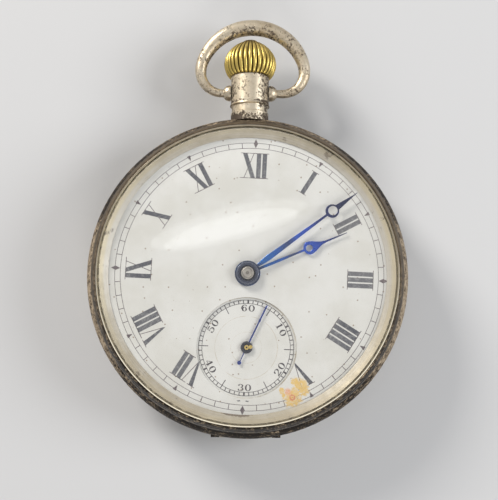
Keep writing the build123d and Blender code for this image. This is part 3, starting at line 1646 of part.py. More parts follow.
with BuildPart() as click_spring:
    with BuildSketch(Plane.XY.offset(keyless_wheel_low)):
        tapered_bar(spring_foot, click_spring_foot, spring_tip, click_spring_wall)
    extrude(amount=ratchet_top + recess_floor_gap - keyless_wheel_low)
pieces["click_spring"] = click_spring

# ---- Main plate ----
case_screw_places = tuple(
    at(centre, case_screw_distance, radians(turn)) for turn in (case_screw_angle, case_screw_angle + 180)
)
bridge_screw_places = barrel_feet + train_feet + (cock_foot,)
pivot_places = (third_centre, fourth_centre, escape_centre, pallet_centre, balance_centre)


def pocket(low, high, *discs):
    """Cuts round areas, each a centre and a radius, between two heights of the part that is open."""
    with BuildSketch(Plane.XY.offset(low)) as area:
        for place, radius in discs:
            with Locations(place):
                Circle(radius)
    extrude(area.sketch, amount=high - low, mode=Mode.SUBTRACT)


def slot_box(half_width, start, end, low, high, mode=Mode.SUBTRACT):
    """A box astride the stem's line, from one distance to another and between two heights."""
    with BuildSketch(Plane.XY.offset(low)) as area:
        with Locations((0, start)):
            Rectangle(2 * half_width, end - start, align=(Align.CENTER, Align.MIN))
    extrude(area.sketch, amount=high - low, mode=mode)


block_start = winding_pinion_end + clutch_gap
block_end = plate_radius - stem_block_inset
end_block_start = stem_end_wall - end_block_length
pinion_room = winding_pinion_radius + recess_gap
clutch_room = clutch_radius + recess_gap
screw_end = plate_low + screw_bite - running_gap

with BuildPart() as main_plate:
    cylinder(centre, plate_low, plate_top, plate_radius)
    cylinder(centre, ledge_top, ledge_top + flange_thickness, flange_radius)
    slot_box(stem_block_half, block_start, block_end, bridge_inner, plate_low, Mode.ADD)
    end_block_low = stem_height - end_block_half
    slot_box(end_block_half, end_block_start, stem_end_wall, end_block_low, plate_low, Mode.ADD)
    pocket(
        motion_floor,
        plate_top,
        (centre, hour_wheel_pitch + recess_gap + hour_module),
        (minute_wheel_centre, minute_wheel_pitch + recess_gap + cannon_module),
        (setting_wheel_centre, setting_wheel_pitch + recess_gap + cannon_module),
    )
    with BuildSketch(Plane.XY.offset(motion_floor)):
        with Locations((0, keyless_pocket_end - keyless_pocket_length / 2)):
            RectangleRounded(2 * keyless_pocket_half, keyless_pocket_length, keyless_pocket_corner)
    extrude(amount=motion_depth, mode=Mode.SUBTRACT)
    slot_box(pinion_room, winding_pinion_start, block_start, plate_low, stem_height + pinion_room)
    slot_box(clutch_room, stem_end_wall, winding_pinion_start, plate_low, stem_height + clutch_room)
    nub_slot_end = groove_start + groove_length + stem_pull
    slot_box(nub_radius + recess_gap, groove_start, nub_slot_end, stem_height, motion_floor)
    radial_bore(block_start, plate_radius + cut_margin, stem_radius + running_gap)
    radial_bore(end_block_start, stem_end_wall, stem_pivot_radius + running_gap)
    cylinder(centre, plate_low, motion_floor, centre_arbor_radius + running_gap, Mode.SUBTRACT)
    arbor_hole_top = plate_low + arbor_pivot_length + pivot_clearance
    cylinder(barrel_centre, plate_low, arbor_hole_top, arbor_pivot_radius + running_gap, Mode.SUBTRACT)
    for place in pivot_places:
        cylinder(place, plate_low, plate_low + jewel_thickness, jewel_hole, Mode.SUBTRACT)
    cylinder(fourth_centre, plate_low, plate_top, fourth_arbor_radius + running_gap, Mode.SUBTRACT)
    for place in bridge_screw_places + (pallet_foot,) + case_screw_places:
        cylinder(place, plate_low, plate_low + screw_bite, shank_hole, Mode.SUBTRACT)
    for place in (lever_pivot, yoke_pivot):
        cylinder(place, plate_low, motion_floor, nub_radius + running_gap, Mode.SUBTRACT)
    for place in (minute_wheel_centre, setting_wheel_centre):
        cylinder(place, motion_floor, motion_low + wheel_thickness, post_radius)
pieces["main_plate"] = main_plate


# ---- Bridges ----
def bridge_hollows(feet):
    """The screw holes and counterbores of a bridge that stands on the given feet."""
    for place in feet:
        cylinder(place, bridge_outer, bridge_outer + counterbore_depth, head_hole, Mode.SUBTRACT)
        cylinder(place, bridge_outer, plate_low, shank_hole, Mode.SUBTRACT)


balance_room = balance_radius + balance_screw_length + bridge_gap
cock_end_room = cock_end_radius + bridge_gap
case_screw_room = case_screw_head + case_screw_gap
bridge_cut = 3 * case_radius


def clear_of_balance():
    """Takes the room of the balance, its cock and the case screws out of the bridge that is open."""
    pocket(bridge_outer, bridge_inner, (balance_centre, balance_room), (cock_foot, cock_end_room))
    pocket(bridge_outer, bridge_inner, *[(place, case_screw_room) for place in case_screw_places])
    with BuildSketch(Plane.XY.offset(bridge_outer)) as cock_room:
        tapered_bar(balance_centre, cock_radius + bridge_gap, cock_foot, cock_end_room)
    extrude(cock_room.sketch, amount=bridge_thickness, mode=Mode.SUBTRACT)


recess_floor = ratchet_top + recess_floor_gap
with BuildPart() as barrel_bridge:
    with BuildSketch(Plane.XY.offset(bridge_outer)):
        Circle(bridge_radius)
        with Locations((0, bridge_split)):
            Rectangle(bridge_cut, bridge_cut, align=(Align.CENTER, Align.MAX), mode=Mode.SUBTRACT)
    extrude(amount=bridge_thickness)
    clear_of_balance()
    for place in barrel_feet:
        cylinder(place, bridge_inner, plate_low, foot_radius)
    pocket(
        bridge_outer,
        recess_floor,
        (barrel_centre, ratchet_tip + recess_gap),
        (crown_wheel_centre, crown_wheel_pitch + pinion_addendum * ratchet_module + recess_gap),
        (spring_foot, click_spring_foot + recess_gap),
    )
    click_room = click_boss_radius + recess_gap
    beak_room = click_beak_radius + recess_gap
    for swing_end in (beak_place, lifted_beak):
        with BuildSketch(Plane.XY.offset(bridge_outer)):
            tapered_bar(click_pivot, click_room, swing_end, beak_room)
        extrude(amount=recess_floor - bridge_outer, mode=Mode.SUBTRACT)
    with BuildSketch(Plane.XY.offset(bridge_outer)):
        tapered_bar(spring_foot, click_spring_foot + recess_gap, spring_tip, click_spring_wall + recess_gap)
    extrude(amount=recess_floor - bridge_outer, mode=Mode.SUBTRACT)
    pinion_room_start = winding_pinion_start - recess_gap
    slot_box(pinion_room, pinion_room_start, block_start, stem_height - pinion_room, bridge_inner)
    slot_box(clutch_room, stem_end_wall, winding_pinion_start, stem_height - clutch_room, bridge_inner)
    cylinder(barrel_centre, bridge_outer, bridge_inner, arbor_bore, Mode.SUBTRACT)
    cylinder(centre, bridge_outer, bridge_inner, centre_arbor_radius + running_gap, Mode.SUBTRACT)
    cylinder(click_pivot, bridge_outer, bridge_inner, shank_hole, Mode.SUBTRACT)
    bridge_hollows(barrel_feet)
pieces["barrel_bridge"] = barrel_bridge

with BuildPart() as train_bridge:
    with BuildSketch(Plane.XY.offset(bridge_outer)):
        Circle(bridge_radius)
        with Locations((0, bridge_split - bridge_gap)):
            Rectangle(bridge_cut, bridge_cut, align=(Align.CENTER, Align.MIN), mode=Mode.SUBTRACT)
    extrude(amount=bridge_thickness)
    clear_of_balance()
    for place in train_feet:
        cylinder(place, bridge_inner, plate_low, foot_radius)
    for place in (third_centre, fourth_centre, escape_centre):
        cylinder(place, bridge_outer, bridge_inner, jewel_hole, Mode.SUBTRACT)
    bridge_hollows(train_feet)
pieces["train_bridge"] = train_bridge


# ---- Jewels ----
def jewel(place, low, bore):
    """A jewel ring that holds a pivot, in the part that is open."""
    with BuildSketch(flat_plane(place, low)) as ring:
        Circle(jewel_radius)
        Circle(bore, mode=Mode.SUBTRACT)
    extrude(ring.sketch, amount=jewel_thickness)


pivot_bore = pivot_radius + fit_gap
with BuildPart() as plate_jewels:
    for place in pivot_places:
        jewel(place, plate_low, fourth_arbor_radius + fit_gap if place == fourth_centre else pivot_bore)
pieces["plate_jewels"] = plate_jewels

with BuildPart() as bridge_jewels:
    for place in (third_centre, fourth_centre, escape_centre):
        jewel(place, bridge_outer, pivot_bore)
    jewel(balance_centre, cock_outer, pivot_bore)
pieces["bridge_jewels"] = bridge_jewels

# ---- Screws that hold the movement together and in its case ----
with BuildPart() as bridge_screws:
    sunk_head = counterbore_depth + screw_stand
    for turn, place in enumerate(barrel_feet + train_feet):
        head_low = bridge_outer - screw_stand
        slotted_screw(place, head_low, screw_head_radius, sunk_head, screw_radius, screw_end, turn)
    head_low = cock_outer - screw_stand
    slotted_screw(cock_foot, head_low, screw_head_radius, sunk_head, screw_radius, screw_end, 1)
    head_low = pallet_cock_low - low_head_height
    slotted_screw(pallet_foot, head_low, low_screw_head, low_head_height, screw_radius, screw_end, 2)
    slotted_screw(
        click_pivot,
        keyless_wheel_low - wheel_screw_height,
        screw_head_radius,
        wheel_screw_height,
        screw_radius,
        bridge_inner - running_gap,
        click_slot_turn,
    )
pieces["bridge_screws"] = bridge_screws

with BuildPart() as case_screws:
    head_low = plate_low - case_screw_height
    for place in case_screw_places:
        slotted_screw(
            place, head_low, case_screw_head, case_screw_height, screw_radius, screw_end, case_slot_turn
        )
pieces["case_screws"] = case_screws

# ---- Write every piece to its own file ----
os.makedirs("parts", exist_ok=True)
for name, piece in pieces.items():
    piece.part.label = name
    export_step(piece.part, f"parts/{name}.step")
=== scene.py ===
import math
import bpy
from mathutils import Matrix, Vector


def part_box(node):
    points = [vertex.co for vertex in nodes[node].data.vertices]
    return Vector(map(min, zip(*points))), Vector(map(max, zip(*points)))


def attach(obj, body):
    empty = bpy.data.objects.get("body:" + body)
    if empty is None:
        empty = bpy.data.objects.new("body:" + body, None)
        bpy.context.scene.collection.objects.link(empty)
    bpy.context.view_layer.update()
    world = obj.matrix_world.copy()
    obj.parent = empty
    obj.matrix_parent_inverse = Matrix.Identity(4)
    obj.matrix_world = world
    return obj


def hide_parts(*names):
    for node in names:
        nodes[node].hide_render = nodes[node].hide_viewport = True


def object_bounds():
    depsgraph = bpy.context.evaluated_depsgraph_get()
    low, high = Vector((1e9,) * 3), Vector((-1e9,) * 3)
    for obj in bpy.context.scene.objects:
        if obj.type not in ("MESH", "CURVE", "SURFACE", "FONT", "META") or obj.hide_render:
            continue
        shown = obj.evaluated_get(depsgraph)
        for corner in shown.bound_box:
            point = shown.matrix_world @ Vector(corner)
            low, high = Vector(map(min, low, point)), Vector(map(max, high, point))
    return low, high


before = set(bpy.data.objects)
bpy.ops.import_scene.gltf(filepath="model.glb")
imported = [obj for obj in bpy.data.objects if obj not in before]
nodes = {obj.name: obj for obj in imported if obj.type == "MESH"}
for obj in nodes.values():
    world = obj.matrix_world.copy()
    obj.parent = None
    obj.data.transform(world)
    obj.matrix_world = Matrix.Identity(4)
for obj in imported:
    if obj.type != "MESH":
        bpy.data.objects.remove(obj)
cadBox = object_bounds()
mm = 0.001
scene = bpy.context.scene
print("frame loaded:", len(nodes), "nodes")

# camera: above the 6 o'clock side, tipped a little
cameraFit = {
    "target": (0.1734, 3.8496, 8.0),                         # mm
    "distance": 139.13,
    "pitch": 0.1299,                                         # radians
    "yaw": 0.0014,
    "roll": 0.0125,
    "lens": 64.6,
    "clip": (0.005, 5.0),
}


def addCamera(fit):
    back = Vector((
        math.sin(fit["yaw"]),
        -math.sin(fit["pitch"]) * math.cos(fit["yaw"]),
        math.cos(fit["pitch"]) * math.cos(fit["yaw"]),
    ))
    right = (-back).cross(Vector((0, 1, 0))).normalized()
    up = right.cross(-back)
    tipRight = right * math.cos(fit["roll"]) + up * math.sin(fit["roll"])
    tipUp = -right * math.sin(fit["roll"]) + up * math.cos(fit["roll"])
    data = bpy.data.cameras.new("watchCamera")
    data.lens = fit["lens"]
    camera = bpy.data.objects.new("watchCamera", data)
    scene.collection.objects.link(camera)
    place = (Vector(fit["target"]) + back * fit["distance"]) * mm
    camera.matrix_world = Matrix.Translation(place) @ Matrix((tipRight, tipUp, back)).transposed().to_4x4()
    data.clip_start, data.clip_end = fit["clip"]
    scene.camera = camera


addCamera(cameraFit)
print("camera set")


# shader maths: an expression on wires adds its own nodes
class Wire:
    def __init__(self, finish, socket):
        self.finish, self.socket = finish, socket

    def calc(self, operation, *values):
        return self.finish.add("ShaderNodeMath", {"operation": operation}, dict(enumerate((self, *values))))

    def back(self, operation, value):                   # the wire comes second, so that 1 - mask works
        return self.finish.add("ShaderNodeMath", {"operation": operation}, {0: value, 1: self})

    def __add__(self, other): return self.calc("ADD", other)
    def __radd__(self, other): return self.calc("ADD", other)
    def __sub__(self, other): return self.calc("SUBTRACT", other)
    def __rsub__(self, other): return self.back("SUBTRACT", other)
    def __mul__(self, other): return self.calc("MULTIPLY", other)
    def __rmul__(self, other): return self.calc("MULTIPLY", other)
    def __truediv__(self, other): return self.calc("DIVIDE", other)
    def __rtruediv__(self, other): return self.back("DIVIDE", other)
    def __pow__(self, other): return self.calc("POWER", other)
    def __rpow__(self, other): return self.back("POWER", other)

    def step(self, low, high, start=0.0, end=1.0):      # a smooth rise from start to end between two values
        settings = {"interpolation_type": "SMOOTHSTEP"}
        values = {"Value": self, "From Min": low, "From Max": high, "To Min": start, "To Max": end}
        return self.finish.add("ShaderNodeMapRange", settings, values)


class Finish:
    def __init__(self, name, **fixed):
        self.material = bpy.data.materials.new(name)
        self.material.use_nodes = True
        self.tree = self.material.node_tree
        self.surface = self.tree.nodes["Principled BSDF"]
        for socket, value in fixed.items():
            self.surface.inputs[socket.replace("_", " ")].default_value = value
        place = self.add("ShaderNodeTexCoord", output="Object")
        self.point = self.add("ShaderNodeVectorMath", {"operation": "SCALE"}, {0: place, "Scale": 1 / mm})
        parts = self.add("ShaderNodeSeparateXYZ", inputs={0: self.point}, output=None)
        self.x, self.y, self.z = [Wire(self, socket) for socket in parts.outputs]

    def add(self, kind, settings=None, inputs=None, output=0):
        made = self.tree.nodes.new(kind)
        for key, value in (settings or {}).items():
            if key == "stops":
                ramp = made.color_ramp.elements
                for index, (place, color) in enumerate(value):
                    stop = ramp[index] if index < 2 else ramp.new(place)
                    stop.position, stop.color = place, (*color, 1)
            else:
                setattr(made, key, value)
        for key, value in (inputs or {}).items():
            self.join(value, made.inputs[key])
        return made if output is None else Wire(self, made.outputs[output])

    def join(self, value, socket):
        if isinstance(value, Wire):
            self.tree.links.new(value.socket, socket)
        else:
            socket.default_value = value

    def put(self, **wires):
        for socket, value in wires.items():
            self.join(value, self.surface.inputs[socket.replace("_", " ")])
        return self

    def noise(self, scale, detail=3.0, roughness=0.55, point=None):
        values = {"Vector": point or self.point, "Scale": scale, "Detail": detail, "Roughness": roughness}
        return self.add("ShaderNodeTexNoise", inputs=values)

    def blend(self, amount, first, second):
        first, second = [value if isinstance(value, Wire) else (*value, 1) for value in (first, second)]
        return self.add("ShaderNodeMix", {"data_type": "RGBA"}, {0: amount, 6: first, 7: second}, output=2)

    def ramp(self, value, *stops):
        return self.add("ShaderNodeValToRGB", {"stops": stops}, {0: value})

    def combine(self, x, y, z):
        return self.add("ShaderNodeCombineXYZ", inputs={0: x, 1: y, 2: z})

    def radius(self, centreX=0.0, centreY=0.0):
        return ((self.x - centreX) ** 2 + (self.y - centreY) ** 2) ** 0.5

    def turned(self, along, across, centreX=0.0, centreY=0.0):   # streaks that follow circles about a centre
        radius = self.radius(centreX, centreY)
        east, north = (self.x - centreX) / radius, (self.y - centreY) / radius
        return self.noise(1.0, 4.0, 0.6, self.combine(east * along, north * along, (radius + self.z) * across))

    def bump(self, height, depth):
        return self.put(Normal=self.add("ShaderNodeBump", inputs={"Height": height, "Distance": depth * mm}))


# finishes: lengths in them are millimetres, as in Finish.point
silverLook = {
    "bright": (0.55, 0.478, 0.362),
    "dull": (0.36, 0.285, 0.186),
    "dark": (0.062, 0.043, 0.028),
    "bowCentre": (0.0, 34.4),
    "bowReach": (7.3, 5.95),                                 # half axes of the bow's middle line
    # painted shade on the inner side of the bow
    "bowShadeAmount": 0.1,
    "neckLine": 27.55,                                       # the groove round the pendant
    "neckShadeAmounts": (0.17, 0.13),                                # painted shade under the shoulder, at the sides
}


def shadeInsideBow(finish):                                        # painted shade: more dark pits on the inner side of the bow, which faces the crown
    x, y = silverLook["bowCentre"]
    wide, high = silverLook["bowReach"]
    ring = (((finish.x - x) / wide) ** 2 + ((finish.y - y) / high) ** 2) ** 0.5
    return ring.step(1.0, 0.82) * finish.y.step(28.6, 31.0) * silverLook["bowShadeAmount"]


def shadeOnNeck(finish):                                       # painted shade: more dark pits under the shoulder, along its groove and at the neck's sides
    under, beside = silverLook["neckShadeAmounts"]
    line = (finish.y - silverLook["neckLine"]).calc("ABSOLUTE").step(0.35, 0.05)
    low = finish.y.step(26.1, 25.0) + line * 0.6
    return low * under + finish.x.calc("ABSOLUTE").step(1.2, 3.2) * beside


def wornSilver(name, wear, tone, rounds=True, paintedShade=None):
    finish = Finish(name, Metallic=0.85)
    bright, dull, dark = [[value * tone for value in silverLook[key]] for key in ("bright", "dull", "dark")]
    patches = finish.noise(0.35, 5.0, 0.62)
    pits = finish.noise(2.6, 5.0, 0.72)
    streaks = finish.turned(9.0, 4.0) if rounds else finish.noise(1.1, 5.0, 0.65)
    gathered = finish.noise(0.5, 3.0, 0.6).step(0.4, 0.62)
    tarnish = (patches * 0.7 + streaks * 0.6 + wear - 0.95).step(0.0, 0.5)
    color = finish.blend(tarnish, bright, dull)
    # painted shade: the bow's and neck's masks add dark pits where shade falls
    paintedShadeAmount = paintedShade(finish) if paintedShade else 0.0
    pitted = (pits + streaks * 0.25 + gathered * 0.12 + wear * 0.1 + paintedShadeAmount).step(0.76, 0.9)
    finish.put(Base_Color=finish.blend(pitted, color, dark), Metallic=pitted * -0.4 + 0.85)
    finish.put(Roughness=patches * 0.25 + tarnish * 0.15 + pitted * 0.2 + 0.2)
    return finish.bump(pitted * -0.6 + finish.noise(9.0, 2.0) * 0.3 + streaks * 0.3, 0.05).material


bezelLook = {
    "seat": (0.60, 0.56, 0.48),                              # the matt strip beside the dial
    "slope": (0.62, 0.54, 0.37),                             # the cream strip under the crystal's edge
    "worn": (0.40, 0.34, 0.235),
    "stain": (0.13, 0.09, 0.055),
    # painted highlight: the inner lip's bright line, strongest towards 6 o'clock
    "paintedHighlight": (0.92, 0.84, 0.66),
    "shoulder": (0.27, 0.205, 0.13),
    "brim": (0.12, 0.09, 0.058),                             # the shoulder away from 6 o'clock
    "groove": (0.022, 0.016, 0.011),
    "slopeStart": 21.85,                                     # radii of the turned profile
    "mattEnd": (22.55, 22.75),
    "slopeEnd": (22.75, 22.85),
    "highlightRing": (22.9, 0.1),                                # radius and half width of the painted highlight on the inner lip
    "shoulderStart": (23.0, 23.1),
    "grooves": (23.06, 23.62),
    "grooveWidth": 0.1,
    "smear": (-1.8, 21.35, 3.2, 0.3),                        # near 6 o'clock: x, radius, half sizes
}


def bezelMetal():
    look = bezelLook
    finish = Finish("turnedBezel", Metallic=0.9)
    radius = finish.radius()
    lines = finish.turned(2.2, 7.0)
    blots = finish.noise(0.5, 5.0, 0.65)
    low = finish.y.step(6.0, -16.0)
    start = look["slopeStart"]
    slope = finish.blend((radius + lines * 0.3).step(start, start + 0.5), look["seat"], look["slope"])
    dull = low * 0.32 + finish.y.step(11.0, 21.0) * 0.3      # more wear towards 6 o'clock, and darker towards 12 o'clock
    slope = finish.blend((lines * 0.6 + blots * 0.5 + dull).step(0.5, 1.05), slope, look["worn"])
    x, out, wide, high = look["smear"]
    smear = (((finish.x - x) / wide) ** 2 + ((radius - out) / high) ** 2) ** 0.5
    smear = smear + finish.y.step(0.0, 1.0) * 9.0            # keeps it off the upper half
    stained = (finish.noise(0.28, 4.0, 0.7) + lines * 0.25 + smear.step(1.3, 0.2) * 0.3).step(0.74, 0.84)
    slope = finish.blend(stained * 0.8, slope, look["stain"])
    # painted highlight on the inner lip, fading away from 6 o'clock, and less metallic where it shows
    place, width = look["highlightRing"]
    paintedHighlight = (radius - place).calc("ABSOLUTE").step(width, width * 0.5) * (low * 0.75 + 0.25)
    spots = finish.noise(2.0, 4.0, 0.7) + finish.noise(0.6, 3.0) * 0.4 + low * 0.07
    shoulder = finish.blend(spots.step(0.62, 0.78), look["shoulder"], look["groove"])
    shoulder = finish.blend(low * 0.8 + 0.2, look["brim"], shoulder)
    color = finish.blend(radius.step(*look["slopeEnd"]), slope, shoulder)
    cut = 0.0
    for place in look["grooves"]:
        cut = (radius - place).calc("ABSOLUTE").step(look["grooveWidth"], 0.02) + cut
    color = finish.blend(cut * (low * 0.3 + 0.55), color, look["groove"])
    color = finish.blend(paintedHighlight, color, look["paintedHighlight"])
    finish.put(Base_Color=color, Metallic=radius.step(*look["mattEnd"], 0.2, 0.8) * (paintedHighlight * -0.8 + 1.0))
    rough = blots * 0.2 + radius.step(*look["mattEnd"], 0.34, 0.22)
    finish.put(Roughness=rough + radius.step(*look["shoulderStart"]) * (low * -0.2 + 0.2))
    return finish.bump(lines * 0.4 - cut, 0.05).material


bandLook = {
    "tones": (                                               # from tarnish to metal worn bare
        (0.14, (0.011, 0.008, 0.006)), (0.42, (0.17, 0.128, 0.084)), (0.9, (0.42, 0.335, 0.235)),
    ),
    "darker": ((-9.0, -24.0, 0.27), (3.0, 13.0, 0.26), (18.0, 22.5, -0.16)),   # between two heights on the face
}


def bandMetal():
    finish = Finish("tarnishedBand", Metallic=0.08, Specular_IOR_Level=0.08)
    streaks = finish.turned(13.0, 3.4)
    blots, flecks = finish.noise(0.6, 4.0, 0.65), finish.noise(2.3, 5.0, 0.72)
    worn = streaks * 0.7 + flecks * 1.4 + blots * 0.4
    for start, end, amount in bandLook["darker"]:
        worn = worn - finish.y.step(start, end) * amount
    color = finish.ramp(worn.step(0.9, 1.5), *bandLook["tones"])
    finish.put(Base_Color=color, Roughness=flecks * 0.35 + 0.36)
    return finish.bump(streaks * 0.5 + flecks * 0.6, 0.07).material


enamelLook = {
    "white": (0.75, 0.74, 0.695),
    "cloud": (0.67, 0.655, 0.595),
    "speck": (0.27, 0.18, 0.11),
    "solder": (0.46, 0.36, 0.21),
    "speckSpacing": 1.9,
    "speckSize": 0.13,
    "speckShare": (0.52, 0.72),
    "rings": ((7.58, 0.1, 0.8), (4.75, 0.07, 0.6), (2.35, 0.06, 0.5)),   # radius, half width, strength
}
stainLook = {
    "yellow": (0.76, 0.51, 0.15),
    "red": (0.64, 0.15, 0.07),
    "pink": (0.78, 0.34, 0.20),
    "spots": (                                               # x, y, size
        (6.95, -18.75, 1.25), (8.2, -16.75, 0.95), (8.6, -17.5, 0.8), (7.35, -16.3, 0.62),
        (7.2, -17.6, 0.6), (5.35, -17.65, 0.45), (5.6, -18.3, 0.3),
    ),
    "spotEdge": (2.4, 1.95),
    "blush": (6.3, -17.75, 0.62),
    "blushEdge": (2.1, 1.4),
    "ring": (6.95, -18.6, 0.34, 0.2),                        # x, y, radius, half width
    "dot": (0.13, 0.05),
}
secondsDialCentre = (-0.08, -11.24)
secondsPivot = (0.0, -11.22)                                 # the dial sits a hair off its hand


def stained(finish, color):                                  # old paint near 5 o'clock, over enamel and print
    ragged = finish.noise(1.9, 5.0, 0.8)
    mottled = finish.noise(2.6, 4.0, 0.7).step(0.36, 0.6, 0.55, 1.0)
    for x, y, size in stainLook["spots"]:
        reach = finish.radius(x, y) / size + ragged * 2.4
        color = finish.blend(reach.step(*stainLook["spotEdge"]) * mottled, color, stainLook["yellow"])
    x, y, size = stainLook["blush"]
    reach = finish.radius(x, y) / size + ragged * 2.0
    color = finish.blend(reach.step(*stainLook["blushEdge"]) * mottled * 0.75, color, stainLook["pink"])
    x, y, size, width = stainLook["ring"]
    ring = (finish.radius(x, y) - size).calc("ABSOLUTE") + ragged * 0.8 - 0.4
    color = finish.blend(ring.step(width, 0.0) * 0.8, color, stainLook["red"])
    dot = finish.radius(x, y).step(*stainLook["dot"])
    return finish.blend(dot * 0.7, color, stainLook["red"])


def enamel(name, seconds=False):
    finish = Finish(name, Roughness=0.16, Coat_Weight=0.6, Coat_Roughness=0.06)
    clouds = finish.noise(0.12, 4.0, 0.6)
    color = finish.blend(clouds.step(0.35, 0.7), enamelLook["white"], enamelLook["cloud"])
    scattered = {"Vector": finish.point, "Scale": 1 / enamelLook["speckSpacing"]}
    cells = finish.add("ShaderNodeTexVoronoi", {"voronoi_dimensions": "2D"}, scattered, output=None)
    away, lot = Wire(finish, cells.outputs["Distance"]), Wire(finish, cells.outputs["Color"])
    size = lot.step(*enamelLook["speckShare"]) * (enamelLook["speckSize"] / enamelLook["speckSpacing"])
    specks = (size - away + finish.noise(4.0, 2.0) * 0.03 - 0.015).step(0.0, 0.012)
    color = finish.blend(specks * 0.75, color, enamelLook["speck"])
    if seconds:
        radius = finish.radius(*secondsDialCentre)
        for place, width, strength in enamelLook["rings"]:
            away = (radius - place).calc("ABSOLUTE")
            worn = finish.noise(0.9, 2.0).step(0.3, 0.6)
            color = finish.blend(away.step(width, 0.0) * worn * strength, color, enamelLook["solder"])
    else:
        color = stained(finish, color)
    finish.put(Base_Color=color, Coat_Weight=specks * -0.5 + 0.6)
    return finish.bump(finish.noise(0.25, 2.0), 0.04).material


inkLook = {
    "ink": ((0.07, 0.07, 0.082), (0.27, 0.265, 0.26)),       # as printed, and worn thin
    "fineInk": ((0.10, 0.075, 0.08), (0.26, 0.22, 0.21)),
    "secondsInk": ((0.05, 0.042, 0.045), (0.19, 0.17, 0.17)),
    "bleachedAcross": (5.0, 15.0),                           # towards 2 and 3 o'clock
    "bleachedUp": (-7.0, 1.0),
}


def inkFinish(name):
    finish = Finish(name, Roughness=0.3)
    thin = finish.noise(2.4, 4.0, 0.7)
    bleached = finish.x.step(*inkLook["bleachedAcross"]) * finish.y.step(*inkLook["bleachedUp"])
    faded = finish.noise(0.14, 2.0).step(0.42, 0.6) * 0.3 + bleached * 0.4
    ink = finish.blend(thin.step(0.48, 0.66) * 0.55 + faded, *inkLook[name])
    finish.put(Base_Color=stained(finish, ink))
    return finish.bump(thin, 0.01).material


bluedLook = {
    "reach": 22.0,
    "run": (                                                 # distance from the watch's centre, colour there; the bright blue from 3.2 to 5.6 mm is a painted highlight, as on the minute hand's belly
        (1.9, (0.030, 0.045, 0.10)), (3.2, (0.022, 0.15, 0.46)), (5.6, (0.03, 0.12, 0.44)),
        (7.6, (0.05, 0.075, 0.19)), (9.2, (0.03, 0.11, 0.55)), (11.2, (0.03, 0.09, 0.50)),
        (13.5, (0.025, 0.045, 0.22)), (16.5, (0.02, 0.025, 0.085)),
    ),
    "hubReach": 2.0,
    "hubEdge": (1.72, 1.68),
    # the hub's rings; the light rim at 1.58 mm is a painted highlight on its edge
    "hub": (
        (1.0, (0.008, 0.008, 0.012)), (1.16, (0.012, 0.012, 0.018)), (1.24, (0.05, 0.055, 0.085)),
        (1.5, (0.055, 0.065, 0.11)), (1.58, (0.17, 0.18, 0.22)),
    ),
    "secondsReach": (8.0, 7.7),
    "secondsBlue": (0.03, 0.055, 0.27),
    "secondsHub": ((0.35, (0.01, 0.01, 0.013)), (0.5, (0.035, 0.035, 0.045)), (0.85, (0.075, 0.075, 0.09))),
    "secondsHubEdge": (0.96, 0.92),
    "flash": (0.58, -11.15, 0.36, (0.80, 0.58, 0.16)),       # a brass spot: x, y, size, colour
}


def stopsWithin(reach, stops):                               # places in mm as shares of a reach
    return [(place / reach, tone) for place, tone in stops]


def bluedSteel():
    finish = Finish("bluedSteel", Metallic=0.8)
    shade = finish.noise(0.5, 2.0)
    look = bluedLook
    out, small = finish.radius(), finish.radius(*secondsPivot)
    # painted highlight: the bright blue of the run between 3.2 and 5.6 mm
    color = finish.ramp(out / look["reach"] + (shade - 0.5) * 0.1, *stopsWithin(look["reach"], look["run"]))
    color = finish.blend(small.step(*look["secondsReach"]), color, look["secondsBlue"])
    hub = finish.ramp(out / look["hubReach"], *stopsWithin(look["hubReach"], look["hub"]))
    color = finish.blend(out.step(*look["hubEdge"]), color, hub)
    secondsHub = finish.ramp(small, *look["secondsHub"])
    x, y, size, brass = look["flash"]
    secondsHub = finish.blend(finish.radius(x, y).step(size, size * 0.6), secondsHub, brass)
    color = finish.blend(small.step(*look["secondsHubEdge"]), color, secondsHub)
    finish.put(Base_Color=color, Roughness=finish.noise(1.2, 3.0) * 0.2 + 0.14)
    return finish.bump(finish.noise(6.0, 2.0), 0.004).material


crownRibs = 32
stemHeight = 6.4                                             # of the crown's axis over the back
crownTone = {
    "ridge": (0.63, 0.475, 0.135),
    "worn": (0.42, 0.305, 0.085),
    "top": (0.26, 0.19, 0.06),
    "groove": (0.085, 0.056, 0.016),
    "topFrom": (36.4, 38.0),
}


def crownBrass():
    finish = Finish("crownBrass", Metallic=0.95)
    angle = (finish.z - stemHeight).calc("ARCTAN2", finish.x)
    rib = (angle * crownRibs).calc("COSINE")
    wear = finish.noise(0.9, 4.0, 0.6)
    gold = finish.blend(wear.step(0.4, 0.75), crownTone["ridge"], crownTone["worn"])
    gold = finish.blend(finish.y.step(*crownTone["topFrom"]) * 0.6, gold, crownTone["top"])
    finish.put(Base_Color=finish.blend((rib + wear * 0.12).step(-0.2, -0.9), gold, crownTone["groove"]))
    finish.put(Roughness=wear * 0.25 + 0.24)
    return finish.bump(finish.noise(5.0, 3.0), 0.02).material


